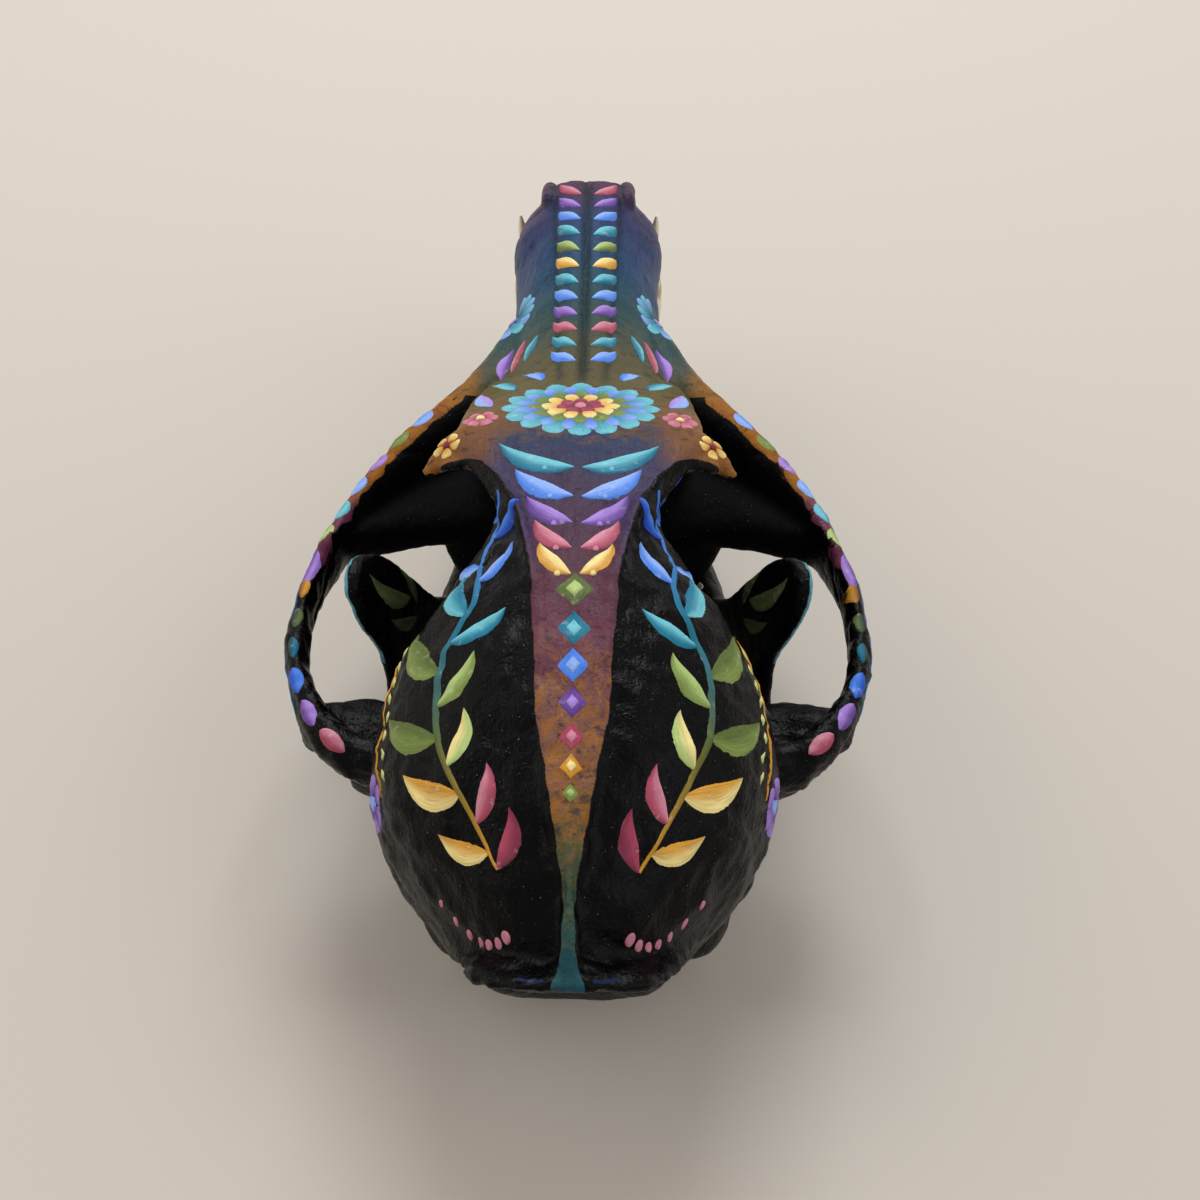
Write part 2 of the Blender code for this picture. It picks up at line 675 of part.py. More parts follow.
def lower_teeth(where):
    teeth = []
    for n, (x, y, size) in enumerate([(1.5, 141.6, 1.9), (3.5, 141.2, 2.2), (5.3, 139.8, 2.5)]):
        teeth.append(fang(f"incisor_{n}", (x, y, -6.2), (x * 1.1, y + 0.9, -1.9), (0, 0.2, 0), size * 0.9, size, where))
    teeth.append(fang("canine", (6.9, 138.3, -7.0), (11.1, 140.6, 7.8), (1.0, 0.7, 0), 3.5, 4.6, where))
    teeth.append(blade("premolar_1", (7.0, 129.4, -6.6), 3.6, 2.4, [(-1, 0.8), (0.1, 2.6), (1, 0.8)], where, turn=8))
    teeth.append(blade("premolar_2", (8.4, 122.6, -6.6), 7.6, 3.0, [(-1, 0.8), (0.2, 4.8), (1, 0.8)], where, turn=12))
    teeth.append(blade("premolar_3", (10.1, 113.4, -6.6), 8.4, 3.2, [(-1, 0.8), (0.1, 5.4), (1, 0.8)], where, turn=12))
    teeth.append(
        blade("premolar_4", (11.1, 104.0, -6.4), 8.6, 3.4, [(-1, 1.0), (-0.5, 3.4), (0.15, 5.6), (1, 1.0)], where, turn=12)
    )
    teeth.append(
        blade(
            "carnassial",
            (12.6, 91.8, -6.2),
            14.4,
            4.8,
            [(-1, 2.8), (-0.6, 3.6), (-0.3, 4.0), (0.1, 6.8), (0.35, 4.8), (0.65, 5.6), (1, 1.6)],
            where,
            turn=12,
        )
    )
    teeth.append(blade("molar_2", (15.6, 80.8, -5.8), 6.8, 4.4, [(-1, 1.7), (-0.3, 2.4), (0.4, 3.1), (1, 1.6)], where, turn=12))
    teeth.append(blade("molar_3", (17.4, 75.0, -5.4), 3.2, 2.8, [(-1, 1.2), (0, 2.2), (1, 1.2)], where, turn=12))
    return teeth


# The lower jaw


def ramus_middle(y, z):
    """How far out the muscle plate stands: it follows the spread of the two halves and flares at the top."""
    return 22.4 - 0.14 * (y - 50) + 0.0102 * np.maximum(z - 1, 0) ** 2


def jaw_half(where):
    """The animal's right half: a curved bar for the teeth, and the blade that the jaw muscles pull on."""
    bar = sweep(
        "jaw_bar",
        [
            (2.2, 141.5, -8.6, 2.6, 2.6),
            (2.7, 137.5, -10.0, 3.2, 4.2),
            (3.5, 131.0, -11.4, 3.4, 5.2),
            (6.8, 122.0, -12.0, 2.7, 5.5),
            (9.6, 111.0, -12.3, 2.8, 5.8),
            (12.6, 98.0, -12.6, 3.2, 6.5),
            (15.4, 86.0, -12.4, 3.2, 7.3),
            (18.6, 74.0, -11.2, 2.9, 8.0),
            (21.2, 63.0, -8.6, 2.2, 8.0),
            (22.6, 55.0, -6.0, 1.6, 7.0),
        ],
        where,
        rings=60,
    )
    outline = [
        (74.0, -6.0),
        (69.0, 0.0),
        (65.6, 5.0),
        (63.6, 10.0),
        (62.6, 16.0),
        (62.0, 20.8),
        (60.4, 24.6),
        (57.8, 26.6),
        (55.2, 26.8),
        (52.6, 25.2),
        (51.0, 21.4),
        (50.2, 15.8),
        (47.0, 11.4),
        (42.6, 9.4),
        (42.6, 6.0),
        (45.4, 1.0),
        (44.6, -4.0),
        (40.0, -6.0),
        (37.4, -7.6),
        (39.4, -10.4),
        (43.0, -12.4),
        (52.0, -14.4),
        (62.0, -17.0),
        (70.0, -17.4),
    ]
    ramus = plate("ramus", outline, 2.2, ramus_middle, where)
    edge = [(y, z, thick) for y, z, thick in ((74, -8, 2.0), (68.0, 1, 1.5), (63.6, 9, 1.2), (61.8, 16, 1.0), (60.6, 22.4, 0.8))]
    front_edge = sweep(
        "ramus_edge",
        [(ramus_middle(y, z), y, z, thick, thick) for y, z, thick in edge],
        where,
        upward=(0, 1, 0.2),
    )
    head = sweep(
        "jaw_head",
        [(20.2, 41.6, 9.0, 1.7, 1.8), (22.4, 41.5, 9.4, 2.5, 2.4), (26.4, 41.4, 9.7, 2.6, 2.5), (30.6, 41.2, 9.9, 1.8, 1.8)],
        where,
    )
    neck = ellipsoid("jaw_neck", (24.6, 44.0, 6.4), (2.2, 3.0, 4.4), where)
    angle = ellipsoid("jaw_angle", (24.0, 43.6, -9.2), (2.0, 5.4, 2.9), where, turn=(-16, 0, 0))
    return [bar, ramus, front_edge, head, neck, angle]


def jaw_cutters(where):
    masseter_pit = ellipsoid("masseter_pit", (29.2, 58.0, 0.0), (6.0, 8.0, 10.0), where, turn=(-14, 0, 0))
    canal = ellipsoid("mental_foramen", (10.4, 119.0, -12.5), (1.6, 0.9, 0.7), where)
    midline = box("symphysis_gap", (-20, 120, -40), (CUT_GAP / 2, 160, 20), where)
    return [masseter_pit, canal, midline]


# Placing and parting


def rest_placement():
    """Tips the skull on to the low points of its jaw, and puts the lowest level at z = 0."""
    (front_y, front_z), (back_y, back_z) = BODY_LOW, ANGLE_LOW
    tilt = math.atan2(back_z - front_z, front_y - back_y)
    turn = Matrix.Rotation(tilt, 4, "X")
    low = (turn @ Vector((0, front_y, front_z)))[2] + FOOT_DEPTH
    return Matrix.Translation((0, -MIDDLE_Y * MM, -low * MM)) @ turn


def prism(name, outline, low, high, along, gap, where):
    """A straight-sided block over an outline, grown on every side by half the gap.

    The outline is given in (x, y) and raised along z, or in (y, z) and run along x."""
    outline = inset_outline_corners(np.array(outline, float), -gap / 2)
    order = (0, 1, 2) if along == "z" else (1, 2, 0)
    points = np.zeros((2 * len(outline), 3))
    for level, rows in ((low - gap / 2, slice(0, len(outline))), (high + gap / 2, slice(len(outline), None))):
        points[rows, order[0]], points[rows, order[1]], points[rows, order[2]] = outline[:, 0], outline[:, 1], level
    count = len(outline)
    faces = [(k, (k + 1) % count, count + (k + 1) % count, count + k) for k in range(count)]
    for a, b, c in flat_triangles(outline):
        faces.append((a, b, c))
        faces.append((count + c, count + b, count + a))
    return outward(new_object(name, points, faces, where))


def inset_outline_corners(corners, distance):
    """A straight-sided outline whose every side is moved inwards by a distance."""
    area = np.sum(corners[:, 0] * np.roll(corners[:, 1], -1) - np.roll(corners[:, 0], -1) * corners[:, 1])
    sides = np.roll(corners, -1, axis=0) - corners
    sides /= np.linalg.norm(sides, axis=1)[:, None]
    inward = np.stack([-sides[:, 1], sides[:, 0]], axis=1) * (1 if area > 0 else -1)
    before = np.roll(inward, 1, axis=0)
    return corners + (inward + before) * distance / (1 + np.sum(inward * before, axis=1))[:, None]


def parted(whole, name, outline, low, high, along, where, helpers):
    """Takes the part of the whole inside a prism as a node of its own, and leaves the cut gap round it."""
    part = bpy.data.objects.new(name, whole.data.copy())
    where.objects.link(part)
    keep = part.modifiers.new("inside", "BOOLEAN")
    keep.operation = "INTERSECT"
    keep.solver = "EXACT"
    keep.object = prism("take", outline, low, high, along, -CUT_GAP, helpers)
    applied(part)
    carve(whole, prism("leave", outline, low, high, along, CUT_GAP, helpers))
    return largest_body(part)


def flipped(outline):
    """The outline on the animal's left."""
    return [(-x, y) for x, y in outline]


def main():
    clear_scene()
    skull = collection("fox_skull")
    workshop = collection("workshop")

    pieces = [
        *braincase(workshop),
        *frontal(workshop),
        *muzzle(workshop),
        *zygomatic_arch(workshop),
        *hind_end(workshop),
        *temporal_ridges(workshop),
        *pterygoids(workshop),
    ]
    cranium = fused(joined("cranium", pieces, workshop), 0)
    cranium = carve(cranium, joined("openings", cranium_cutters(workshop), workshop), "MANIFOLD")
    cranium = joined("cranium", [cranium, *upper_teeth(workshop)], workshop)
    cranium = thinned(largest_body(fused(cranium, 4)), CRANIUM_TRIANGLES)
    nodes = []
    for side, turned in (("right", list), ("left", flipped)):
        arch = parted(cranium, f"zygomatic_arch_{side}", turned(ARCH_CUT), -60, 60, "z", skull, workshop)
        bulla = parted(cranium, f"ear_bulla_{side}", turned(BULLA_CUT), -60, BULLA_TOP, "z", skull, workshop)
        nodes += [arch, bulla]
    rostrum = parted(cranium, "rostrum", ROSTRUM_CUT, -90, 90, "x", skull, workshop)
    cranium = largest_body(cranium)
    cranium.name = "braincase"
    nodes += [rostrum, cranium]

    jaw = fused(joined("jaw", jaw_half(workshop), workshop), 0)
    jaw = joined("jaw", [jaw, *lower_teeth(workshop)], workshop)
    jaw = fused(jaw, 3)
    jaw = carve(jaw, joined("jaw_pits", jaw_cutters(workshop), workshop), "MANIFOLD")
    jaw = thinned(largest_body(jaw), JAW_TRIANGLES)
    left_jaw = mirrored(jaw, workshop)

    for obj in (cranium, jaw, left_jaw):
        skull.objects.link(obj)
        workshop.objects.unlink(obj)
    jaw.name, left_jaw.name = "mandible_right", "mandible_left"
    nodes += [jaw, left_jaw]
    placement = rest_placement()
    table = box("table", (-200, -200, -50), (200, 300, 0), workshop)
    table.data.transform(placement.inverted())
    for obj in (jaw, left_jaw):
        carve(obj, table)
    for helper in list(workshop.objects):
        bpy.data.objects.remove(helper, do_unlink=True)
    for obj in nodes:
        obj.data.materials.clear()
        obj.data.materials.append(paint(f"{obj.name}_paint", (0.012, 0.012, 0.013), 0.38))
        obj.data.transform(placement)


main()
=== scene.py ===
import math

import bmesh
import bpy
import numpy as np
from mathutils import Matrix, Vector
from mathutils.bvhtree import BVHTree


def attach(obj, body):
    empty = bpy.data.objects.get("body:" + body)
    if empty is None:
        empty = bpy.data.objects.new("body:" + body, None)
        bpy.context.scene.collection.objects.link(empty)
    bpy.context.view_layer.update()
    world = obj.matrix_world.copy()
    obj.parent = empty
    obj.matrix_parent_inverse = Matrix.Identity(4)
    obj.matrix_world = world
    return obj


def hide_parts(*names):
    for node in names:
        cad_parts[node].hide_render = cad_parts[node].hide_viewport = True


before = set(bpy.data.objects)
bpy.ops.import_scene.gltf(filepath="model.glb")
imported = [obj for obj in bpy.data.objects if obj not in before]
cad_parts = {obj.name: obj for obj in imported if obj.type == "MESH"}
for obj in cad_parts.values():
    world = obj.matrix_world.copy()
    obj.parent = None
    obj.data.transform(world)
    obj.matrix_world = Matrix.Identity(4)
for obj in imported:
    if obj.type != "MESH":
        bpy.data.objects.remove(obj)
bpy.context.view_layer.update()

# Cranium
# The fox's own bone: a thin domed braincase, a long snout over the palate, and two slender cheek
# arches, all grown together. It is shaped in its own frame, in millimetres, with y forward from
# the back of the crest and z up from the sockets of the upper teeth.

MM = 0.001
SKULL_LENGTH = 146.0
ZYGOMATIC_WIDTH = 73.8
BRAINCASE_WIDTH = 47.2
CRANIUM_HEIGHT = 43.4
PALATE_WIDTH = 41.0
# the jaw's two low points, as (y, z), and how deep the flats are cut where it rests on them
BODY_LOW = (84.0, -19.6)
ANGLE_LOW = (43.0, -12.4)
FOOT_DEPTH = 0.9
MIDDLE_Y = 69.1
CUT_GAP = 0.3
RING_POINTS = 64
BONE_GRID = 0.42
BONE_TRIANGLES = 196000
CAP_ANGLES = (28, 55, 78)
# a plate's shells, as (share of its half thickness, share of it that the outline draws in)
PLATE_SHELLS = ((-1, 0.8), (-0.8, 0.3), (0, 0), (0.8, 0.3), (1, 0.8))
# seams between the bones, as (y, z) seen from the side
PREMAXILLA_SEAM = [(139.5, 1), (135.5, 8), (127, 13.2), (118, 16.6), (112, 18.6)]
SQUAMA_SEAM = [(47, 16), (45, 24), (38, 29.5), (28, 30.5), (20, 26), (17, 19)]
ARCH_ROOT_SEAM = [(96, 5), (90, 9), (86, 13.6), (83, 17)]
ARCH_SEAM = [(70, 20), (62, 16.2), (52, 14.6), (44, 15.4)]

workshop = bpy.data.collections.new("workshop")
bpy.context.scene.collection.children.link(workshop)


def placed(name, mesh):
    """An object for a mesh, in the workshop."""
    obj = bpy.data.objects.new(name, mesh)
    workshop.objects.link(obj)
    return obj


def reworked(mesh, change):
    """The mesh after a change made to it in a bmesh."""
    work = bmesh.new()
    work.from_mesh(mesh)
    change(work)
    work.to_mesh(mesh)
    work.free()
    return mesh


def new_object(name, points, faces):
    """A mesh object from points in millimetres."""
    mesh = bpy.data.meshes.new(name)
    mesh.from_pydata([tuple(p) for p in np.asarray(points) * MM], [], faces)
    mesh.validate()
    return placed(name, mesh)


def smooth_rows(rows, count, along=None):
    """Rows read at count even steps of a smooth curve through them. The curve's measure is the column
    named by along, or the distance from point to point."""
    rows = np.array(rows, float)
    if along is None:
        steps = np.linalg.norm(np.diff(rows[:, :3], axis=0), axis=1)
        u = np.concatenate([[0], np.cumsum(steps)])
    else:
        u = rows[:, along]
    slope = np.gradient(rows, u, axis=0)
    at = np.linspace(u[0], u[-1], count)
    i = np.clip(np.searchsorted(u, at, side="right") - 1, 0, len(u) - 2)
    h = (u[i + 1] - u[i])[:, None]
    t = ((at - u[i]) / (u[i + 1] - u[i]))[:, None]
    return (
        rows[i] * (2 * t**3 - 3 * t**2 + 1)
        + slope[i] * h * (t**3 - 2 * t**2 + t)
        + rows[i + 1] * (3 * t**2 - 2 * t**3)
        + slope[i + 1] * h * (t**3 - t**2)
    )


def flat_curve(points, count):
    """A smooth curve through points of two coordinates, at count even steps."""
    return smooth_rows([(u, v, 0) for u, v in points], count)[:, :2]


def rounded(count, low_power, high_power):
    """Unit points round a superellipse whose lower and upper halves have their own squareness."""
    angle = np.linspace(0, 2 * np.pi, count, endpoint=False)
    c, s = np.cos(angle), np.sin(angle)
    power = 2 / np.where(s >= 0, high_power, low_power)
    return np.sign(c) * np.abs(c) ** power, np.sign(s) * np.abs(s) ** power


def loft(name, rings):
    """A closed skin over rings of equal count, each end drawn to the middle of its ring."""
    count, last = len(rings[0]), len(rings) - 1
    points = [p for ring in rings for p in ring]
    points += [rings[0].mean(axis=0), rings[-1].mean(axis=0)]
    first_end, last_end = len(points) - 2, len(points) - 1
    faces = []
    for r in range(last):
        for k in range(count):
            a, b = r * count + k, r * count + (k + 1) % count
            faces.append((a, b, b + count, a + count))
    for k in range(count):
        faces.append((first_end, (k + 1) % count, k))
        faces.append((last_end, last * count + k, last * count + (k + 1) % count))
    return outward(new_object(name, points, faces))


def outward(obj):
    reworked(obj.data, lambda work: bmesh.ops.recalc_face_normals(work, faces=work.faces))
    return obj


def hull_loft(name, stations, low_power=2.4, high_power=2.1, rings=60):
    """A loft along y. Each station is (y, half width, top, height of the widest level, bottom)."""
    rows = smooth_rows(stations, rings, along=0)
    across, up = rounded(RING_POINTS, low_power, high_power)
    made = []
    for y, half_width, top, widest, bottom in rows:
        reach = np.where(up >= 0, top - widest, widest - bottom)
        made.append(np.stack([half_width * across, np.full_like(across, y), widest + reach * up], axis=1))
    return loft(name, made)


def sweep(name, stations, upward=(0, 0, 1), power=2.2, rings=40, points=24):
    """A bar along a curve, with round ends. Each station is (x, y, z, half thickness, half height)."""
    rows = smooth_rows(stations, rings)
    tangents = np.gradient(rows[:, :3], axis=0)
    tangents /= np.linalg.norm(tangents, axis=1)[:, None]
    across, up = rounded(points, power, power)
    made = []
    for row, tangent in zip(rows, tangents):
        made.append(bar_ring(row, tangent, 0, 1, across, up, upward))
    bulge = [(math.sin(a), math.cos(a)) for a in map(math.radians, CAP_ANGLES)]
    start = [bar_ring(rows[0], tangents[0], -out, size, across, up, upward) for out, size in bulge]
    end = [bar_ring(rows[-1], tangents[-1], out, size, across, up, upward) for out, size in bulge]
    return loft(name, [*start[::-1], *made, *end])


def bar_ring(row, tangent, out, size, across, up, upward):
    """One ring of a bar: shrunk to size and moved along the bar by out times its half thickness."""
    side = np.cross(tangent, upward)
    side /= np.linalg.norm(side)
    raised = np.cross(side, tangent)
    middle = row[:3] + tangent * out * min(row[3], row[4])
    return middle + size * (row[3] * across[:, None] * side + row[4] * up[:, None] * raised)


def primitive(name, shape, make, **sizes):
    """A closed primitive, turned, stretched and moved by the matrix shape."""

    def build(work):
        make(work, **sizes)
        bmesh.ops.transform(work, matrix=shape, verts=work.verts)

    return placed(name, reworked(bpy.data.meshes.new(name), build))


def ellipsoid(name, centre, radii, turn=(0, 0, 0)):
    shape = Matrix.Translation(Vector(centre) * MM)
    for axis, angle in zip("XYZ", turn):
        shape = shape @ Matrix.Rotation(math.radians(angle), 4, axis)
    shape = shape @ Matrix.Diagonal((radii[0] * MM, radii[1] * MM, radii[2] * MM, 1))
    return outward(primitive(name, shape, bmesh.ops.create_uvsphere, u_segments=28, v_segments=18, radius=1))


def box(name, low, high):
    low, high = Vector(low) * MM, Vector(high) * MM
    shape = Matrix.Translation((low + high) / 2) @ Matrix.Diagonal((*(high - low), 1))
    return primitive(name, shape, bmesh.ops.create_cube, size=1)


def plate(name, outline, thickness, bow):
    """A thin plate of one outline in (y, z). bow gives the middle of its thickness at each (y, z)."""
    edge = flat_curve([*outline, outline[0]], 90)[:-1]
    count = len(edge)
    points = []
    for share, inset in PLATE_SHELLS:
        shrunk = inset_outline(edge, inset * thickness / 2)
        middle = bow(shrunk[:, 0], shrunk[:, 1])
        points.append(np.stack([middle + share * thickness / 2, shrunk[:, 0], shrunk[:, 1]], axis=1))
    points = np.concatenate(points)
    faces = [
        (r * count + k, r * count + (k + 1) % count, (r + 1) * count + (k + 1) % count, (r + 1) * count + k)
        for r in range(len(PLATE_SHELLS) - 1)
        for k in range(count)
    ]
    last = (len(PLATE_SHELLS) - 1) * count
    for a, b, c in flat_triangles(points[:count, 1:]):
        faces.append((a, b, c))
        faces.append((last + c, last + b, last + a))
    return outward(new_object(name, points, faces))


def flat_triangles(outline):
    """Triangles that fill an outline given in two coordinates."""
    mesh = bmesh.new()
    loop = [mesh.verts.new((u, v, 0)) for u, v in outline]
    mesh.verts.index_update()
    for a, b in zip(loop, loop[1:] + loop[:1]):
        mesh.edges.new((a, b))
    filled = bmesh.ops.triangle_fill(mesh, use_beauty=True, use_dissolve=False, edges=mesh.edges)
    found = [tuple(v.index for v in f.verts) for f in filled["geom"] if isinstance(f, bmesh.types.BMFace)]
    mesh.free()
    return found


def inset_outline(edge, distance):
    """The outline moved inwards by a distance."""
    tangent = np.roll(edge, -1, axis=0) - np.roll(edge, 1, axis=0)
    tangent /= np.linalg.norm(tangent, axis=1)[:, None]
    normal = np.stack([-tangent[:, 1], tangent[:, 0]], axis=1)
    area = np.sum(edge[:, 0] * np.roll(edge[:, 1], -1) - np.roll(edge[:, 0], -1) * edge[:, 1])
    return edge + normal * distance * (1 if area > 0 else -1)


def mirrored(obj):
    """The same piece on the animal's left."""

    def flip(work):
        bmesh.ops.transform(work, matrix=Matrix.Diagonal((-1, 1, 1, 1)), verts=work.verts)
        bmesh.ops.reverse_faces(work, faces=work.faces)

    return placed(obj.name + "_twin", reworked(obj.data.copy(), flip))


def both_sides(pieces):
    return [*pieces, *[mirrored(piece) for piece in pieces]]


def modified(obj, kind, **settings):
    modifier = obj.modifiers.new(kind.lower(), kind)
    for key, value in settings.items():
        setattr(modifier, key, value)


def applied(obj):
    """The object with its modifiers made part of its mesh."""
    bpy.context.view_layer.update()
    graph = bpy.context.evaluated_depsgraph_get()
    mesh = bpy.data.meshes.new_from_object(obj.evaluated_get(graph))
    obj.modifiers.clear()
    obj.data = mesh
    return obj


def joined(name, pieces):
    """Overlapping closed pieces as one object, for the remesh that fuses them."""

    def gather(work):
        for piece in pieces:
            work.from_mesh(piece.data)

    mesh = reworked(bpy.data.meshes.new(name), gather)
    for piece in pieces:
        bpy.data.objects.remove(piece, do_unlink=True)
    return placed(name, mesh)


def fused(obj, grid, smoothing):
    """One skin over overlapping pieces, with soft fillets where they meet."""
    modified(obj, "REMESH", mode="VOXEL", voxel_size=grid * MM, adaptivity=0)
    if smoothing:
        modified(obj, "SMOOTH", factor=0.5, iterations=smoothing)
    return applied(obj)


def carve(obj, cutter):
    modified(obj, "BOOLEAN", operation="DIFFERENCE", solver="MANIFOLD", object=cutter)
    applied(obj)
    bpy.data.objects.remove(cutter, do_unlink=True)
    return obj


def thinned(obj, triangles):
    """Fewer triangles, most of them kept where the bone curves."""
    faces = sum(len(f.vertices) - 2 for f in obj.data.polygons)
    modified(obj, "DECIMATE", ratio=min(1.0, triangles / faces))
    return applied(obj)


def largest_body(obj):
    """Only the largest closed surface of the mesh."""

    def prune(work):
        seen, bodies = set(), []
        for start in work.verts:
            if start.index in seen:
                continue
            body, front = [], [start]
            seen.add(start.index)
            while front:
                vert = front.pop()
                body.append(vert)
                for other in (edge.other_vert(vert) for edge in vert.link_edges):
                    if other.index not in seen:
                        seen.add(other.index)
                        front.append(other)
            bodies.append(body)
        bodies.sort(key=len)
        for body in bodies[:-1]:
            bmesh.ops.delete(work, geom=body, context="VERTS")

    reworked(obj.data, prune)
    return obj


def braincase():
    """Brain box: domed, widest over the ears, drawn in behind the eyes and narrowing to the crest."""
    half, top = BRAINCASE_WIDTH / 2, CRANIUM_HEIGHT
    return [
        hull_loft("brain_box", [
            (3.6, 6.3, top - 9.6, 28.5, 23.5), (6.8, 10.4, top - 7.4, 25, 14),
            (10.0, 14.0, top - 5.8, 22.5, 8), (14.0, 17.4, top - 4.3, 22, 7),
            (18.0, 20.3, top - 2.9, 21.5, 6.5), (23.0, 22.5, top - 1.6, 21.5, 6.5),
            (30.0, half, top - 0.6, 22, 6.5), (37.0, half - 1.0, top - 0.4, 23, 7),
            (44.0, half - 3.8, top - 1.0, 24, 8), (50.0, half - 7.6, top - 2.0, 25, 9.5),
            (55.0, half - 11.0, top - 3.0, 27, 11.5), (60.0, half - 13.3, top - 3.9, 29, 13),
            (66.0, half - 13.8, top - 4.8, 30, 14),
        ], high_power=2.1),
        hull_loft("skull_base", [
            (9, 9, 14, 9, 5.5), (20, 8, 14, 8, 4.5), (34, 7.5, 14, 8, 4.5), (50, 7, 14, 8, 5),
            (66, 6.5, 14, 9, 5),
        ]),
    ]


def frontal():
    """Roof over the eyes with its two pointed processes, on the narrow wall between the orbits."""
    top = CRANIUM_HEIGHT
    roof = hull_loft("frontal_roof", [
        (55, 8.8, top - 3.6, 37.0, 32), (60, 10.2, top - 4.2, 36.6, 32), (65, 13.2, top - 5.0, 35.8, 31.5),
        (70, 15.4, top - 6.4, 34.2, 29.5), (75, 15.6, top - 8.8, 31.8, 26.5),
        (80, 15.2, top - 11.8, 28.6, 22), (85, 14.6, top - 14.6, 25.2, 17),
        (90, 13.2, top - 17.4, 21.5, 13),
    ], low_power=2.0, high_power=2.5)
    wall = hull_loft("orbit_wall", [
        (52, 8, 36, 22, 8), (60, 7.4, 36, 20, 7), (70, 8.2, 34, 18, 5), (80, 10.5, 28, 14, 3),
        (88, 12, 22, 12, 2),
    ])
    process = sweep("postorbital_process", [
        (5, 71.0, 32.4, 4.0, 2.4), (12.0, 70.6, 33.4, 4.0, 2.2), (16.0, 69.9, 32.9, 2.4, 1.3),
        (19.2, 68.2, 31.0, 0.8, 0.6),
    ])
    return [roof, wall, *both_sides([process])]


def muzzle():
    """Upper jaw: the long narrow snout over the palate, and the cheeks that hold the big teeth."""
    snout = hull_loft("snout", [
        (83, 14.6, 30.0, 14, 2), (88, 14.9, 27.4, 13, 1), (94, 14.6, 25.0, 11, 0.5),
        (101, 13.4, 22.8, 8.5, 0), (110, 12.0, 20.8, 6.5, 0), (119, 11.2, 19.2, 5.6, 0),
        (127, 11.3, 17.8, 5.2, 0), (134, 11.9, 16.2, 5.2, 0), (139, 10.8, 14.6, 5.0, 0),
        (143, 8.2, 11.8, 4.4, 0), (SKULL_LENGTH - 0.5, 5.6, 6.0, 3, 0),
    ], low_power=3.0, high_power=1.8)
    half = PALATE_WIDTH / 2
    cheek = hull_loft("cheeks", [
        (73, half - 2.9, 5.0, 2.5, -0.2), (77, half - 0.7, 8.0, 3.5, -0.6),
        (83, half + 0.1, 12.0, 5.0, -0.6), (90, half - 0.9, 13.6, 5.0, -0.5),
        (97, half - 4.1, 13.6, 4.5, -0.3), (106, half - 7.9, 12.5, 4.5, 0),
    ], low_power=3.0, high_power=2.0)
    nasals = hull_loft("nasals", [
        (86, 5.6, 28.2, 24, 21), (95, 5.2, 24.9, 20, 16), (110, 4.6, 21.2, 16, 13),
        (130, 5.0, 17.7, 14, 11), (141.6, 5.8, 14.4, 12.5, 11),
    ], high_power=2.6)
    rim = sweep("nostril_rim", [
        (6.0, 137.6, 13.4, 1.5, 1.7), (6.2, 142.8, 10.6, 1.4, 1.8), (5.9, 144.9, 5.0, 1.4, 1.6),
    ])
    return [snout, cheek, nasals, *both_sides([rim])]


def zygomatic_arch():
    """Cheek bone: a thin tall bar that bows out from the upper jaw and turns in to the brain box."""
    out = ZYGOMATIC_WIDTH / 2 - 1.4
    arch = sweep("arch", [
        (8.4, 111.0, 10.0, 3.3, 4.4), (11.2, 104.4, 10.2, 3.7, 5.0), (14.4, 98.4, 10.2, 3.7, 5.6),
        (19.2, 92.2, 10.4, 3.4, 5.8), (25.2, 84.8, 11.0, 2.7, 5.6), (29.8, 77.0, 12.2, 1.9, 5.1),
        (32.8, 69.0, 14.0, 1.5, 4.6), (out - 0.4, 59.5, 16.2, 1.35, 3.3), (out, 51.5, 17.4, 1.4, 2.8),
        (out - 1.3, 44.0, 18.2, 1.6, 3.0), (out - 4.4, 38.2, 18.2, 2.0, 3.2), (26.6, 34.6, 17.6, 2.6, 3.4),
        (20.0, 33.4, 17.0, 3.6, 3.8),
    ], rings=70)
    orbital_point = ellipsoid("orbital_point", (33.4, 66.4, 17.2), (1.2, 3.0, 2.4), turn=(0, 0, 20))
    floor = sweep("orbit_floor", [
        (12, 82.5, 7.0, 7.5, 4.0), (18, 81.0, 7.4, 6.4, 3.6), (24, 77.6, 8.8, 4.6, 3.4),
        (28.6, 73.6, 10.6, 2.8, 3.2), (31.4, 70.4, 12.6, 1.4, 3.2),
    ])
    socket_bar = sweep("joint_socket", [
        (12, 38, 12.6, 5.0, 3.2), (20, 39, 13.6, 5.4, 2.7), (27, 39.6, 14.8, 4.8, 2.4),
        (32, 40.0, 16.0, 3.2, 2.0),
    ])
    stop = ellipsoid("postglenoid", (23.0, 36.2, 9.4), (5.6, 1.6, 4.8))
    return both_sides([arch, orbital_point, floor, socket_bar, stop])


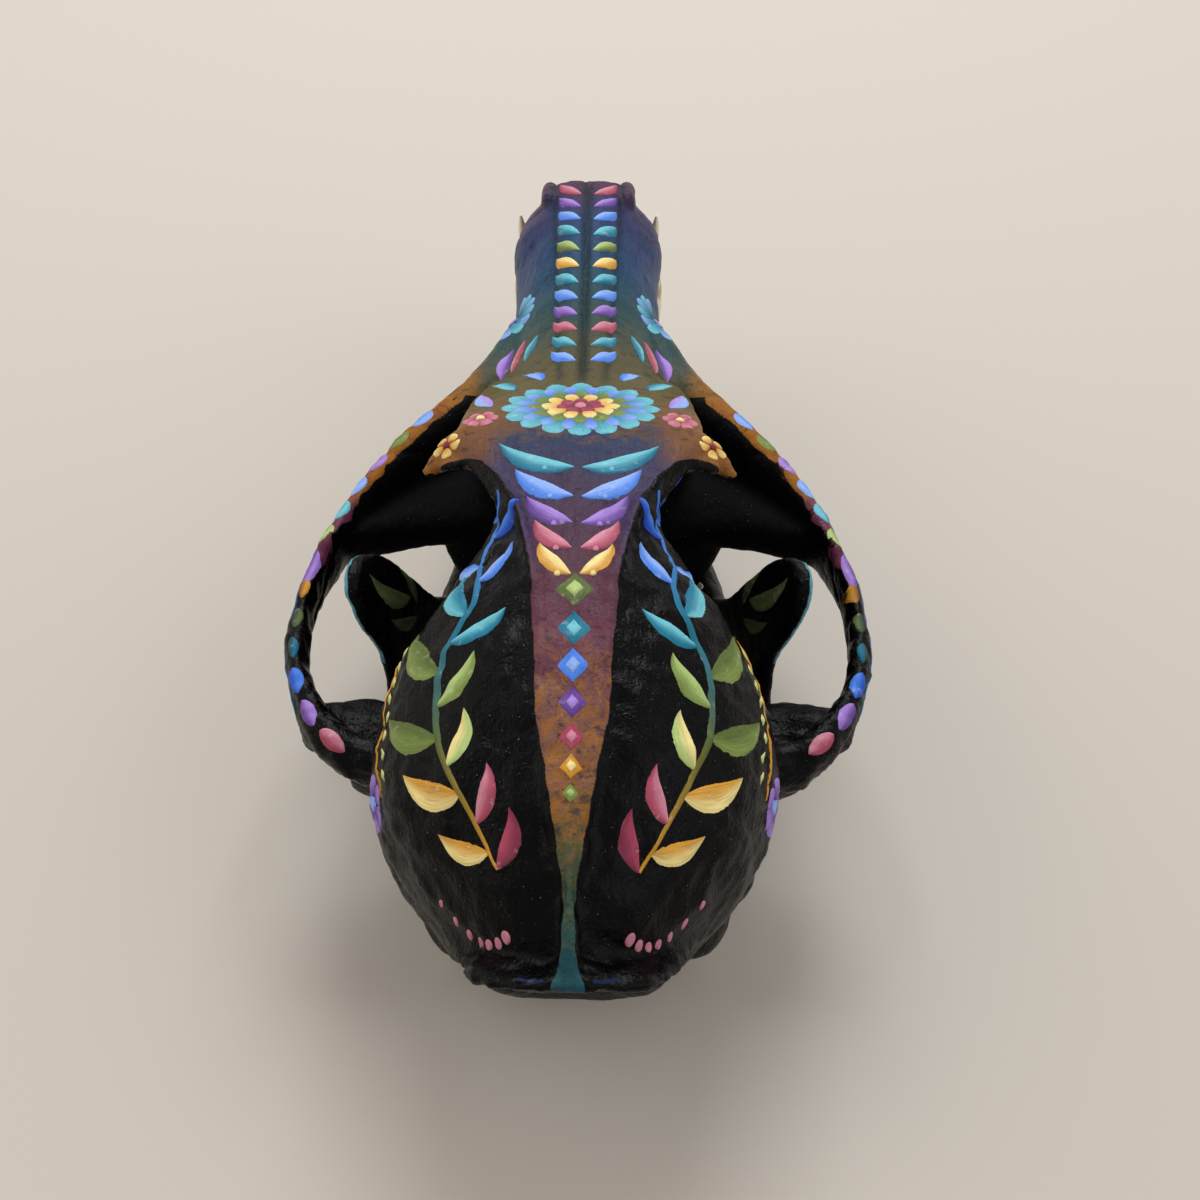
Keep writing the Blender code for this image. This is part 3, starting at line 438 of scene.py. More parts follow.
def hind_end():
    """Occiput: the condyles, the ear bones and their processes, and the crests that the neck pulls on."""
    condyle = ellipsoid("condyle", (7.8, 12.5, 11.4), (4.1, 4.5, 6.4), turn=(0, 24, -20))
    bulla = ellipsoid("bulla", (11.8, 26.0, 4.4), (7.4, 11.2, 8.0), turn=(0, 0, 14))
    mastoid = ellipsoid("mastoid", (18.4, 23.0, 12.2), (3.0, 4.2, 5.2))
    ear_roof = ellipsoid("ear_roof", (20.0, 30.0, 14.0), (4.0, 7.0, 4.0))
    paroccipital = sweep("paroccipital", [
        (14.0, 19.6, 11, 2.8, 3.0), (15.0, 18.2, 6.5, 2.0, 2.4), (15.5, 17.4, 2.0, 0.9, 1.2),
    ], upward=(0, 1, 0))
    nuchal = sweep("nuchal_crest", [
        (18.2, 22.4, 12.4, 1.2, 2.0), (15.0, 16.8, 16.8, 1.0, 2.3), (12.0, 11.4, 21.8, 0.9, 2.5),
        (9.4, 6.4, 27.4, 0.9, 2.7), (7.2, 2.8, 31.6, 0.9, 2.8), (4.4, 1.5, 33.5, 0.9, 2.8),
        (0.0, 1.4, 34.0, 1.0, 2.8),
    ], upward=(0, -0.75, 0.66))
    occiput = ellipsoid("occiput", (0, 13.2, 18.6), (9.0, 4.2, 12.4), turn=(30, 0, 0))
    pieces = both_sides([condyle, bulla, mastoid, ear_roof, paroccipital, nuchal])
    sagittal = sweep("sagittal_crest", [
        (0, 1.0, 34.4, 1.0, 2.0), (0, 6, 36.4, 0.8, 2.2), (0, 12, 38.6, 0.8, 2.0), (0, 20, 40.6, 1.3, 1.4),
        (0, 28, 41.8, 1.6, 0.9),
    ])
    return [*pieces, sagittal, occiput]


def temporal_ridges():
    """Low lines that part the jaw muscles: a narrow V from the crest out to the postorbital points."""
    top = CRANIUM_HEIGHT
    ridge = sweep("temporal_ridge", [
        (0.5, 10, top - 5.4, 0.8, 0.8), (2.0, 19, top - 2.6, 0.8, 0.8), (3.4, 33, top - 0.9, 0.8, 0.8),
        (4.4, 44, top - 1.5, 0.8, 0.8), (6.1, 52, top - 3.0, 0.8, 0.8), (8.6, 59.6, top - 4.9, 0.8, 0.8),
        (12.2, 65.8, top - 7.2, 0.8, 0.8), (16.8, 67.6, top - 10.4, 0.7, 0.7),
    ])
    return both_sides([ridge])


def pterygoids():
    """Thin wings on each side of the inner nostrils."""
    wing = plate("pterygoid_wing", [
        (50, 9), (48.5, 1.5), (50.5, 0.2), (55, 2.2), (64, 1.2), (74, 1.0), (76, 6), (70, 11), (58, 11),
    ], 2.0, lambda y, z: 6.8 + 0.12 * (z - 5))
    return both_sides([wing])


def cranium_cutters():
    """Openings: nostril, inner nostrils, foramen magnum, ear canals, jaw sockets and small foramina."""
    nostril = sweep("nostril", [
        (0, 152, 9.0, 5.6, 6.4), (0, 145, 8.8, 5.0, 5.6), (0, 136, 9.2, 4.4, 5.0), (0, 124, 9.6, 3.4, 3.8),
    ], power=2.4)
    inner = sweep("inner_nostrils", [
        (0, 46, -0.5, 5.2, 4.4), (0, 60, 1.8, 5.0, 4.6), (0, 72, 4.8, 4.4, 2.4), (0, 80, 5.2, 3.4, 1.6),
    ], power=2.6)
    foramen = ellipsoid("foramen_magnum", (0, 5.0, 15.8), (6.4, 9.0, 5.2))
    ear = ellipsoid("ear_canal", (19.4, 28.0, 7.0), (4.2, 2.6, 2.6))
    infraorbital = sweep(
        "infraorbital", [(17.5, 106, 9.0, 1.2, 2.0), (14.4, 99, 9.6, 1.2, 2.0), (11.5, 92, 10.4, 0.9, 1.4)]
    )
    fissure = ellipsoid("palatal_fissure", (2.4, 135.5, -0.4), (1.2, 4.6, 2.2))
    socket = sweep("jaw_socket", [
        (18.5, 41.4, 9.4, 3.3, 3.3), (26.0, 41.4, 9.6, 3.4, 3.4), (34.5, 41.4, 9.8, 3.3, 3.3),
    ])
    fang_notch = sweep("fang_notch", [
        (8.6, 139.0, -8, 2.9, 3.1), (10.4, 140.0, -1, 2.7, 2.9), (12.3, 140.6, 8, 2.5, 2.7),
        (13.8, 141.0, 16, 2.2, 2.4),
    ], upward=(0, 1, 0))
    return [nostril, inner, foramen, *both_sides([ear, infraorbital, fissure, socket, fang_notch])]


def vertex_values(obj, kind):
    flat = np.empty(len(obj.data.vertices) * 3, np.float32)
    obj.data.vertices.foreach_get(kind, flat)
    return flat.reshape(-1, 3).astype(float)


def points_of(obj):
    """The places of an object's vertices, in millimetres."""
    return vertex_values(obj, "co") / MM


def move_points(obj, p):
    obj.data.vertices.foreach_set("co", (p * MM).astype(np.float32).ravel())


def normals_of(obj):
    return vertex_values(obj, "normal")


def lumps(points, size, seed, waves=28):
    """Gentle hills and hollows about one size across, between about -1 and 1."""
    draw = np.random.default_rng(seed)
    way = draw.normal(size=(waves, 3))
    way *= (draw.uniform(0.7, 1.5, waves) * 2 * np.pi / size / np.linalg.norm(way, axis=1))[:, None]
    total = np.zeros(len(points))
    for vector, phase in zip(way, draw.uniform(0, 2 * np.pi, waves)):
        total += np.sin(points @ vector + phase)
    return total / math.sqrt(waves)


def off_line(points, line):
    """Distance of each point from a line of straight runs."""
    line = np.array(line, float)
    best = np.full(len(points), 1e9)
    for a, b in zip(line, line[1:]):
        run = b - a
        share = np.clip((points - a) @ run / (run @ run), 0, 1)
        best = np.minimum(best, np.linalg.norm(points - a - share[:, None] * run, axis=1))
    return best


def groove(distance, width, depth):
    return -depth * np.exp(-((distance / width) ** 2))


def bone_relief(p, n):
    """Height added over the cranium: seams between the bones, muscle marks and gentle lumps."""
    x, y, z = p[:, 0], p[:, 1], p[:, 2]
    side = np.abs(x)
    wander = 0.35 * np.sin(y * 2.1) + 0.25 * np.sin(y * 4.7 + 1)
    up = np.clip(n[:, 2] * 2, 0, 1)
    snout = np.clip((y - 87) / 3, 0, 1) * np.clip((142.5 - y) / 2, 0, 1)
    height = groove(x, 0.42, 0.42) * up * snout
    height += groove(side - (3.0 + (y - 86) * 0.046) + 0.3 * wander, 0.35, 0.2) * up * snout
    height += 0.18 * np.exp(-(((side - 2.3) / 1.3) ** 2)) * up * snout
    side_view = np.stack([y, z], axis=1)
    facing = np.clip(np.abs(n[:, 0]) * 2, 0, 1)
    cut = off_line(side_view, PREMAXILLA_SEAM)
    height += groove(cut + 0.2 * wander, 0.35, 0.22) * facing
    squama = off_line(side_view, SQUAMA_SEAM)
    toothed = 0.22 * np.sin(y * 5.3 + z * 4.1)
    height += groove(squama + toothed, 0.32, 0.22) * (side > 13) * (side < 25)
    across = 50.5 + 2.2 * np.cos(x * 0.16) + 0.5 * np.sin(x * 3.1)
    height += groove(y - across, 0.34, 0.16) * (z > 24) * (side < 21) * (side > 4)
    height += groove(off_line(side_view, ARCH_ROOT_SEAM), 0.4, 0.22) * (side > 16)
    height += groove(off_line(side_view, ARCH_SEAM), 0.35, 0.25) * (side > 30)
    box = np.clip((64 - y) / 6, 0, 1) * np.clip((z - 9) / 4, 0, 1)
    height += 0.16 * lumps(p, 7.5, 3) * box + 0.10 * lumps(p, 3.0, 5) * box
    height += 0.09 * lumps(p, 9.0, 11) + 0.045 * lumps(p, 2.2, 7)
    fan = np.arctan2(z - 12, y - 38)
    height += 0.05 * np.sin(fan * 46 + side * 0.2) * box * (side > 6)
    return height


def shaped(obj, relief):
    """Moves each vertex along its normal by the relief, in millimetres."""
    p, n = points_of(obj), normals_of(obj)
    move_points(obj, p + n * relief(p, n)[:, None])
    obj.data.update()
    return obj


def rest_placement():
    """Tips the skull on to the low points of its jaw, with the lowest level at z = 0."""
    (front_y, front_z), (back_y, back_z) = BODY_LOW, ANGLE_LOW
    tilt = math.atan2(back_z - front_z, front_y - back_y)
    turn = Matrix.Rotation(tilt, 4, "X")
    low = (turn @ Vector((0, front_y, front_z)))[2] + FOOT_DEPTH
    return Matrix.Translation((0, -MIDDLE_Y * MM, -low * MM)) @ turn


def set_down(obj):
    """Keeps each vertex's place in the skull's own frame for the paint, then tips the piece to its rest."""
    marked(obj, "skull", points_of(obj), "FLOAT_VECTOR")
    obj.data.transform(rest_placement())
    obj.data.shade_smooth()
    obj.data.materials.clear()
    return obj


def skin_of(points, obj):
    """The object's surface, with its vertices at the given points, for strokes to fall on."""
    return BVHTree.FromPolygons([tuple(p) for p in points], [tuple(f.vertices) for f in obj.data.polygons])


def marked(obj, name, values, kind="FLOAT"):
    """Keeps a value for each vertex on the mesh, for the finishes."""
    field = {"FLOAT": "value", "FLOAT_VECTOR": "vector", "FLOAT_COLOR": "color"}[kind]
    marks = obj.data.attributes.new(name, kind, "POINT")
    marks.data.foreach_set(field, np.asarray(values, np.float32).ravel())


cranium = fused(
    joined("cranium", [
        *braincase(), *frontal(), *muzzle(), *zygomatic_arch(), *hind_end(), *temporal_ridges(),
        *pterygoids(),
    ]),
    BONE_GRID, 0,
)
cranium = carve(cranium, joined("openings", cranium_cutters()))
cranium = largest_body(fused(cranium, BONE_GRID, 4))
cranium = shaped(thinned(cranium, BONE_TRIANGLES), bone_relief)
cranium_skin = skin_of(points_of(cranium), cranium)

# Painted ground of the cranium
# Black acrylic brushed over the whole bone, and over it a sponged and scumbled field of plum, ochre,
# olive and blue that follows the roof between the two temporal lines and runs out along the snout.

# (y, half width) of the field, (y, height) of its lower rim, (y, distance out) of the arch's middle line,
# and (y, colour) of its paint
FIELD_HALF_WIDTH = [
    (-4, 2.0), (-0.4, 1.7), (1.0, 0.95), (3, 0.62), (7.6, 0.65), (10.2, 0.95), (12, 1.15), (14.7, 1.5),
    (17.2, 2.1), (20, 2.7), (23.3, 3.2), (26.6, 3.7), (31.5, 4.2), (38, 4.45), (45, 5.0), (51, 5.9),
    (53.3, 6.3), (58, 7.6), (62.2, 9.6), (65.4, 11.8), (66.8, 14.2), (67.6, 16.4), (68.0, 30), (150, 30),
]
FIELD_RIM = [
    (60, 30), (68, 31.6), (70, 33.2), (75, 31.0), (80, 28.6), (86, 25.6), (91, 21.0), (94, 16.8),
    (96.5, 11.5), (98.5, 8.0), (112, 6.5), (130, 4.0), (146, 1.5),
]
ARCH_COURSE = [
    (52, 35.4), (59.5, 35.1), (69, 32.8), (77, 29.8), (84.8, 25.2), (92.2, 19.2), (98.4, 14.4), (104, 11.4),
]
FIELD_COLOURS = [
    (-4, (16, 74, 98)), (5, (40, 76, 70)), (12, (82, 84, 54)), (20, (128, 88, 64)), (28, (118, 80, 72)),
    (36, (98, 56, 70)), (48, (80, 46, 62)), (60, (62, 46, 72)), (68, (40, 54, 84)), (75, (104, 74, 42)),
    (84, (92, 82, 48)), (97, (82, 78, 54)), (105, (48, 72, 70)), (112, (34, 72, 84)), (120, (32, 66, 102)),
    (131, (44, 58, 98)), (139, (66, 50, 76)), (146, (94, 52, 64)),
]


def tint(r, g, b):
    """A colour as the eye reads it, from 0 to 255, as the light it gives back."""
    shares = (r / 255, g / 255, b / 255)
    return tuple(c / 12.92 if c <= 0.04045 else ((c + 0.055) / 1.055) ** 2.4 for c in shares)


class Level:
    """One value in a finish. Sums written with it become shader nodes."""

    def __init__(self, finish, socket):
        self.finish, self.socket = finish, socket

    def maths(self, operation, *values):
        return self.finish.node("Math", {"operation": operation}, dict(enumerate(values)))

    def __add__(self, other):
        return self.maths("ADD", self, other)

    def __sub__(self, other):
        return self.maths("SUBTRACT", self, other)

    def __rsub__(self, other):
        return self.maths("SUBTRACT", other, self)

    def __mul__(self, other):
        return self.maths("MULTIPLY", self, other)

    def __truediv__(self, other):
        return self.maths("DIVIDE", self, other)

    __radd__ = __add__

    def between(self, low, high):
        """0 below low, 1 above high, and smooth between them."""
        kind = {"interpolation_type": "SMOOTHSTEP"}
        return self.finish.node("MapRange", kind, {"Value": self, 1: low, 2: high})


class Finish:
    """A material made of named values."""

    def __init__(self, name, **fixed):
        self.material = bpy.data.materials.new(name)
        self.material.use_nodes = True
        self.tree = self.material.node_tree
        self.surface = self.tree.nodes["Principled BSDF"]
        for key, value in fixed.items():
            self.surface.inputs[key.replace("_", " ")].default_value = value

    def node(self, kind, settings=None, values=None, give=0):
        made = self.tree.nodes.new("ShaderNode" + kind)
        for key, value in (settings or {}).items():
            if key == "stops":
                ramp = made.color_ramp
                for place, colour in value[1:-1]:
                    ramp.elements.new(place).color = (*colour, 1)
                for end, (place, colour) in ((ramp.elements[0], value[0]), (ramp.elements[-1], value[-1])):
                    end.position, end.color = place, (*colour, 1)
            else:
                setattr(made, key, value)
        for key, value in (values or {}).items():
            if isinstance(value, Level):
                self.tree.links.new(value.socket, made.inputs[key])
            else:
                made.inputs[key].default_value = value
        return Level(self, made.outputs[give])

    def spot(self, name, give="Fac"):
        """A value kept on the mesh."""
        return self.node("Attribute", {"attribute_name": name}, give=give)

    def speckle(self, place, scale, detail=3.0, roughness=0.55, distortion=0.0):
        values = {"Vector": place, "Scale": scale, "Detail": detail}
        values |= {"Roughness": roughness, "Distortion": distortion}
        return self.node("TexNoise", None, values)

    def stretched(self, place, by, turn=(0, 0, 0)):
        values = {"Vector": place, "Scale": by, "Rotation": turn}
        return self.node("Mapping", {"vector_type": "POINT"}, values)

    def mixed(self, share, first, second):
        wide = lambda c: c if isinstance(c, Level) else (*c, 1)
        kind = {"data_type": "RGBA", "clamp_factor": True}
        return self.node("Mix", kind, {0: share, 6: wide(first), 7: wide(second)}, give=2)

    def feed(self, socket, value):
        self.tree.links.new(value.socket, self.surface.inputs[socket])

    def raised(self, *layers):
        """Bumps laid one over another: each is (height, its size in metres)."""
        normal = None
        for height, size in layers:
            values = {"Height": height, "Distance": size, "Strength": 1.0}
            if normal:
                values["Normal"] = normal
            normal = self.node("Bump", None, values)
        self.feed("Normal", normal)


def seam_dirt(p, n):
    """Where paint pooled dark: along the midline of the snout and the joints beside it."""
    side, y = np.abs(p[:, 0]), p[:, 1]
    snout = np.clip((y - 84) / 4, 0, 1) * np.clip(n[:, 2] * 2, 0, 1)
    joint = np.exp(-(((side - 3.0 - (y - 86) * 0.046) / 0.55) ** 2))
    return snout * np.clip(np.exp(-((side / 0.8) ** 2)) + 0.7 * joint, 0, 1)


def field_edge(p):
    """How far inside the painted field each point lies, in millimetres; below zero is outside."""
    side, y, z = np.abs(p[:, 0]), p[:, 1], p[:, 2]
    width, rim = np.array(FIELD_HALF_WIDTH, float), np.array(FIELD_RIM, float)
    wave = 0.12 * np.sin(y * 0.5 + 0.6) + 0.06 * np.sin(y * 1.7)
    across = np.interp(y, width[:, 0], width[:, 1]) + wave - side
    over = z - np.interp(y, rim[:, 0], rim[:, 1]) + 0.55 * np.maximum(side - 13, 0) * (y < 84)
    over = np.where(y < 60, 9, over + 0.4 * wave)
    high = z - (30.5 - 8 * np.clip((4 - y) / 6, 0, 1))
    return np.minimum(np.minimum(across, over), np.where(y < 62, high, 9))


def arch_wash(p):
    """Where the outer upper edge of the cheek arch carries colour: 1 on it, fading to nothing."""
    side, y, z = np.abs(p[:, 0]), p[:, 1], p[:, 2]
    course = np.array(ARCH_COURSE)
    wave = 0.2 * np.sin(y * 0.9) + 0.12 * np.sin(y * 2.3 + 1)
    outer = np.clip((side - np.interp(y, course[:, 0], course[:, 1]) + 0.9 + wave) / 0.4, 0, 1)
    run = np.clip((y - 59) / 8, 0, 1) * np.clip((102 - y) / 4, 0, 1)
    return outer * run * np.clip((z - 8.5 - 0.12 * (92 - y) + 2 * wave) / 0.8, 0, 1)


def hollow_shade(p):
    """The hollow between braincase, brow and arch, where the paint dried matt: 1 deep inside."""
    side, y, z = np.abs(p[:, 0]), p[:, 1], p[:, 2]
    run = np.clip((y - 40) / 8, 0, 1) * np.clip((100 - y) / 10, 0, 1)
    return run * np.clip((side - 8) / 4, 0, 1) * np.clip((31 - z) / 3, 0, 1) * np.clip((32 - side) / 3, 0, 1)


def acrylic_black(name):
    """Brushed black acrylic with a satin skin."""
    finish = Finish(name, Roughness=0.4, Specular_IOR_Level=0.09)
    place = finish.spot("skull", "Vector")
    coarse = finish.speckle(place, 0.22, 3.0)
    dabs = finish.speckle(place, 0.6, 3.0, distortion=0.8)
    fine = finish.speckle(finish.stretched(place, (2.4, 0.35, 2.4), (0.0, 0.0, 0.25)), 1.0, 4.0)
    grit = finish.speckle(place, 2.6, 3.0)
    dust = finish.speckle(place, 4.6, 1.0).between(0.76, 0.79)
    skin = finish.mixed(fine.between(0.5, 0.8), tint(2, 2, 3), tint(8, 7, 6))
    black = finish.mixed(dust, skin, tint(120, 120, 126))
    finish.raised((coarse, 0.00022), (dabs, 0.0002), (fine, 0.00008), (grit, 0.00009))
    return finish, place, black, fine, grit


def ground_finish():
    finish, place, black, fine, grit = acrylic_black("painted_ground")
    apart = finish.node("SeparateXYZ", None, {"Vector": place})
    along = Level(finish, apart.socket.node.outputs[1])
    drift = finish.speckle(place, 0.16, 4.0, 0.65, distortion=1.2)
    patch = finish.speckle(place, 0.42, 5.0, 0.7, distortion=0.8)
    low, high = FIELD_COLOURS[0][0], FIELD_COLOURS[-1][0]
    stops = [((y - low) / (high - low), tint(*c)) for y, c in FIELD_COLOURS]
    far = (along + drift * 16.0 - 8.0 - low) / (high - low)
    other = (along + patch * 40.0 - 20.0 - low) / (high - low)
    base = finish.node("ValToRGB", {"stops": stops}, {"Fac": far})
    second = finish.node("ValToRGB", {"stops": stops}, {"Fac": other})
    mottle = finish.speckle(place, 1.1, 5.0, 0.7, distortion=0.6)
    field = finish.mixed(patch.between(0.48, 0.60) * 0.85, base, second)
    side = Level(finish, apart.socket)
    flare = (side * side).between(64, 150) * along.between(60, 66) * (1 - along.between(74, 80))
    root = (side * side).between(190, 280) * (1 - along.between(98, 104))
    dusk = (side * side).between(6, 36) * along.between(42, 52) * (1 - along.between(62, 68))
    sponge = finish.speckle(place, 0.8, 5.0, 0.75, distortion=0.5)
    sponged = sponge.between(0.48, 0.56) * along.between(10, 16) * (1 - along.between(26, 40))
    blot = finish.speckle(finish.stretched(place, (0.5, 0.9, 0.5)), 0.9, 4.0, 0.6)
    for share, colour in (
        (flare * 0.8, (122, 78, 40)), (root * (1 - patch.between(0.5, 0.6) * 0.5) * 0.85, (142, 92, 36)),
        (dusk * 0.7, (62, 52, 84)), (sponged * 0.75, (146, 94, 34)),
        (blot.between(0.58, 0.66) * 0.6, (42, 36, 50)), (mottle.between(0.56, 0.68) * 0.45, (34, 26, 34)),
        (grit.between(0.60, 0.72) * 0.5, (24, 18, 24)), (finish.spot("seam") * 0.8, (12, 32, 38)),
    ):
        field = finish.mixed(share, field, tint(*colour))
    inside = (finish.spot("field") + (grit - 0.5) * 0.25).between(-0.06, 0.06)
    wash = finish.spot("wash") * drift.between(0.25, 0.5)
    warm = (along + drift * 18 - 9).between(71, 78)
    washed = finish.mixed(warm, tint(100, 48, 74), tint(146, 94, 34))
    washed = finish.mixed(patch.between(0.5, 0.6) * 0.6, washed, tint(112, 58, 52))
    washed = finish.mixed(mottle.between(0.56, 0.68) * 0.45, washed, tint(34, 26, 34))
    colour = finish.mixed(inside, finish.mixed(wash.between(0.25, 0.6), black, washed), field)
    finish.feed("Base Color", colour)
    finish.feed("Roughness", 0.2 + fine * 0.16 + inside * 0.1 + finish.spot("hollow") * 0.5)
    return finish.material


p, n = points_of(cranium), normals_of(cranium)
marked(cranium, "field", field_edge(p))
marked(cranium, "wash", arch_wash(p))
marked(cranium, "seam", seam_dirt(p, n))
marked(cranium, "hollow", hollow_shade(p))
set_down(cranium)
cranium.data.materials.append(ground_finish())
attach(cranium, "root")
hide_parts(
    "braincase", "rostrum", "zygomatic_arch_right", "zygomatic_arch_left", "ear_bulla_right",
    "ear_bulla_left",
)

# Teeth
# Bare enamel, ivory to honey at the necks: incisors, the long curved canines, and the narrow shearing
# cheek teeth, each set into its socket in the upper jaw or the lower.

TOOTH_GRID = 0.2
UPPER_NECK, LOWER_NECK, NECK_BAND = -0.2, -6.6, 3.2
# a fang's run, as (share of its length, share of its thickness)
FANG_TAPER = ((-0.22, 0.86), (0.0, 1.0), (0.3, 0.9), (0.6, 0.66), (0.85, 0.36), (1.0, 0.12))


def fang(name, root, tip, bend, thick, wide):
    """A canine or incisor: a tapered crown that curves from its root to its tip."""
    root, tip, bend = np.array(root, float), np.array(tip, float), np.array(bend, float)
    stations = []
    for share, size in FANG_TAPER:
        middle = root + (tip - root) * share + bend * 4 * max(share, 0) * (1 - max(share, 0))
        stations.append((*middle, thick / 2 * size, wide / 2 * size))
    return sweep(name, stations, upward=(0, 1, 0), rings=16, points=12)


def blade(name, centre, length, width, cusps, turn=0.0, rise=1.0):
    """A cheek tooth: a narrow crown whose cutting edge runs through its cusps.

    Each cusp is (place along the tooth from -1 at the back to 1 at the front, height)."""
    spots = np.linspace(-1, 1, 17)
    edge = np.interp(spots, [c[0] for c in cusps], [c[1] for c in cusps])
    rings = []
    across, up = rounded(12, 2.2, 1.6)
    for spot, height in zip(spots, edge):
        body = max(0.16, (1 - abs(spot) ** 2.4)) ** 0.5
        y = np.full(12, spot * length / 2)
        x = across * width / 2 * body * np.where(up > 0, 1 - 0.55 * up, 1)
        z = np.where(up >= 0, up * height, up * 2.4) * rise
        rings.append(np.stack([x, y, z], axis=1))
    c, s = math.cos(math.radians(turn)), math.sin(math.radians(turn))
    spin = np.array([[c, -s, 0], [s, c, 0], [0, 0, 1]])
    return loft(name, [ring @ spin.T + np.array(centre) for ring in rings])


def upper_teeth():
    teeth = []
    for n, (x, y, size) in enumerate([(1.5, 145.2, 2.6), (4.2, 144.6, 2.9), (7.0, 142.6, 3.6)]):
        tip = (x * 1.02, y + 0.5, -4.2 - n * 0.9)
        teeth.append(fang(f"incisor_{n}", (x, y, 0.6), tip, (0, 0.5, 0), size * 0.9, size))
    teeth += [
        fang("canine", (9.8, 132.6, 1.5), (10.8, 132.2, -17.0), (0.3, 1.7, 0), 4.2, 6.2),
        blade("premolar_1", (10.1, 127.4, 0.4), 4.6, 3.0, [(-1, 0.8), (0.1, 3.4), (1, 0.8)], rise=-1),
        blade("premolar_2", (10.6, 119.2, 0.4), 8.4, 3.4, [(-1, 1.0), (0.15, 5.8), (1, 0.9)], 3, -1),
        blade("premolar_3", (12.2, 109.2, 0.4), 9.2, 3.6, [
            (-1, 1.2), (-0.6, 2.4), (0.15, 6.4), (1, 0.9),
        ], 10, -1),
        blade(
            "carnassial", (16.3, 96.8, 0.0), 14.2, 5.4,
            [(-1, 2.8), (-0.6, 5.0), (-0.25, 4.0), (0.2, 8.2), (0.7, 3.0), (1, 1.6)], 20, -1,
        ),
        ellipsoid("carnassial_inner", (12.4, 101.0, -1.0), (2.2, 2.4, 2.6)),
        blade(
            "molar_1_outer", (17.6, 85.4, -0.2), 9.0, 5.2,
            [(-1, 1.8), (-0.45, 4.0), (0, 2.8), (0.45, 4.6), (1, 1.8)], 4, -1,
        ),
        ellipsoid("molar_1_inner", (12.9, 84.0, -0.8), (4.4, 3.6, 2.6), turn=(0, 0, -14)),
        blade("molar_2_outer", (16.6, 77.6, -0.2), 5.6, 4.0, [
            (-1, 1.2), (-0.4, 2.4), (0.4, 2.8), (1, 1.2),
        ], -6, -1),
        ellipsoid("molar_2_inner", (13.4, 77.0, -0.6), (3.2, 2.3, 1.9)),
    ]
    return both_sides(teeth)


def lower_teeth():
    teeth = []
    for n, (x, y, size) in enumerate([(1.5, 141.6, 1.9), (3.5, 141.2, 2.2), (5.3, 139.8, 2.5)]):
        tip = (x * 1.1, y + 0.9, -1.9)
        teeth.append(fang(f"incisor_{n}", (x, y, -6.2), tip, (0, 0.2, 0), size * 0.9, size))
    teeth.append(fang("canine", (6.9, 138.3, -7.0), (11.1, 140.6, 7.8), (1.0, 0.7, 0), 3.5, 4.6))
    teeth.append(blade("premolar_1", (7.0, 129.4, -6.6), 3.6, 2.4, [
        (-1, 0.8), (0.1, 2.6), (1, 0.8),
    ], turn=8))
    for name, centre, length, width, cusps in (
        ("premolar_2", (8.4, 122.6, -6.6), 7.6, 3.0, [(-1, 0.8), (0.2, 4.8), (1, 0.8)]),
        ("premolar_3", (10.1, 113.4, -6.6), 8.4, 3.2, [(-1, 0.8), (0.1, 5.4), (1, 0.8)]),
        ("premolar_4", (11.1, 104.0, -6.4), 8.6, 3.4, [(-1, 1.0), (-0.5, 3.4), (0.15, 5.6), (1, 1.0)]),
        (
            "carnassial", (12.6, 91.8, -6.2), 14.4, 4.8,
            [(-1, 2.8), (-0.6, 3.6), (-0.3, 4.0), (0.1, 6.8), (0.35, 4.8), (0.65, 5.6), (1, 1.6)],
        ),
        ("molar_2", (15.6, 80.8, -5.8), 6.8, 4.4, [(-1, 1.7), (-0.3, 2.4), (0.4, 3.1), (1, 1.6)]),
        ("molar_3", (17.4, 75.0, -5.4), 3.2, 2.8, [(-1, 1.2), (0, 2.2), (1, 1.2)]),
    ):
        teeth.append(blade(name, centre, length, width, cusps, turn=12))
    return teeth


def enamel():
    finish = Finish("tooth_enamel", Roughness=0.3)
    place = finish.spot("skull", "Vector")
    neck = finish.spot("neck")
    cloud = finish.speckle(place, 0.5, 3.0)
    fine = finish.speckle(finish.stretched(place, (3.0, 3.0, 0.6)), 1.0, 3.0)
    stained = (neck + (cloud - 0.5) * 0.5).between(0.15, 0.95)
    tone = finish.mixed(stained, tint(232, 222, 196), tint(168, 132, 84))
    finish.feed("Base Color", finish.mixed(fine.between(0.55, 0.8) * 0.3, tone, tint(120, 88, 52)))
    finish.feed("Roughness", 0.24 + cloud * 0.16)
    finish.raised((fine, 0.00004))
    return finish.material


def row_of_teeth(name, teeth, neck):
    """Teeth fused into one piece, with their necks marked for the honey tone."""
    row = fused(joined(name, teeth), TOOTH_GRID, 2)
    marked(row, "neck", np.clip(1 - np.abs(points_of(row)[:, 2] - neck) / NECK_BAND, 0, 1))
    return row


enamel_finish = enamel()
upper = row_of_teeth("upper_teeth", upper_teeth(), UPPER_NECK)
right_lower = row_of_teeth("lower_teeth_right", lower_teeth(), LOWER_NECK)
left_lower = mirrored(right_lower)
left_lower.name = "lower_teeth_left"
for teeth in (upper, right_lower, left_lower):
    set_down(teeth)
    teeth.data.materials.append(enamel_finish)
    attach(teeth, "root")

# Lower jaw
# Two slim halves that meet at the chin, each a curved bar for the teeth with a thin upright blade
# for the jaw muscles. They are brushed black like the cranium, with a pale blue line on the blade's rim.

JAW_GRID = 0.36
RIM_LINE = tint(88, 146, 162)


def ramus_middle(y, z):
    """How far out the muscle plate stands: it spreads with the two halves and flares at the top."""
    return 22.4 - 0.14 * (y - 50) + 0.0102 * np.maximum(z - 1, 0) ** 2


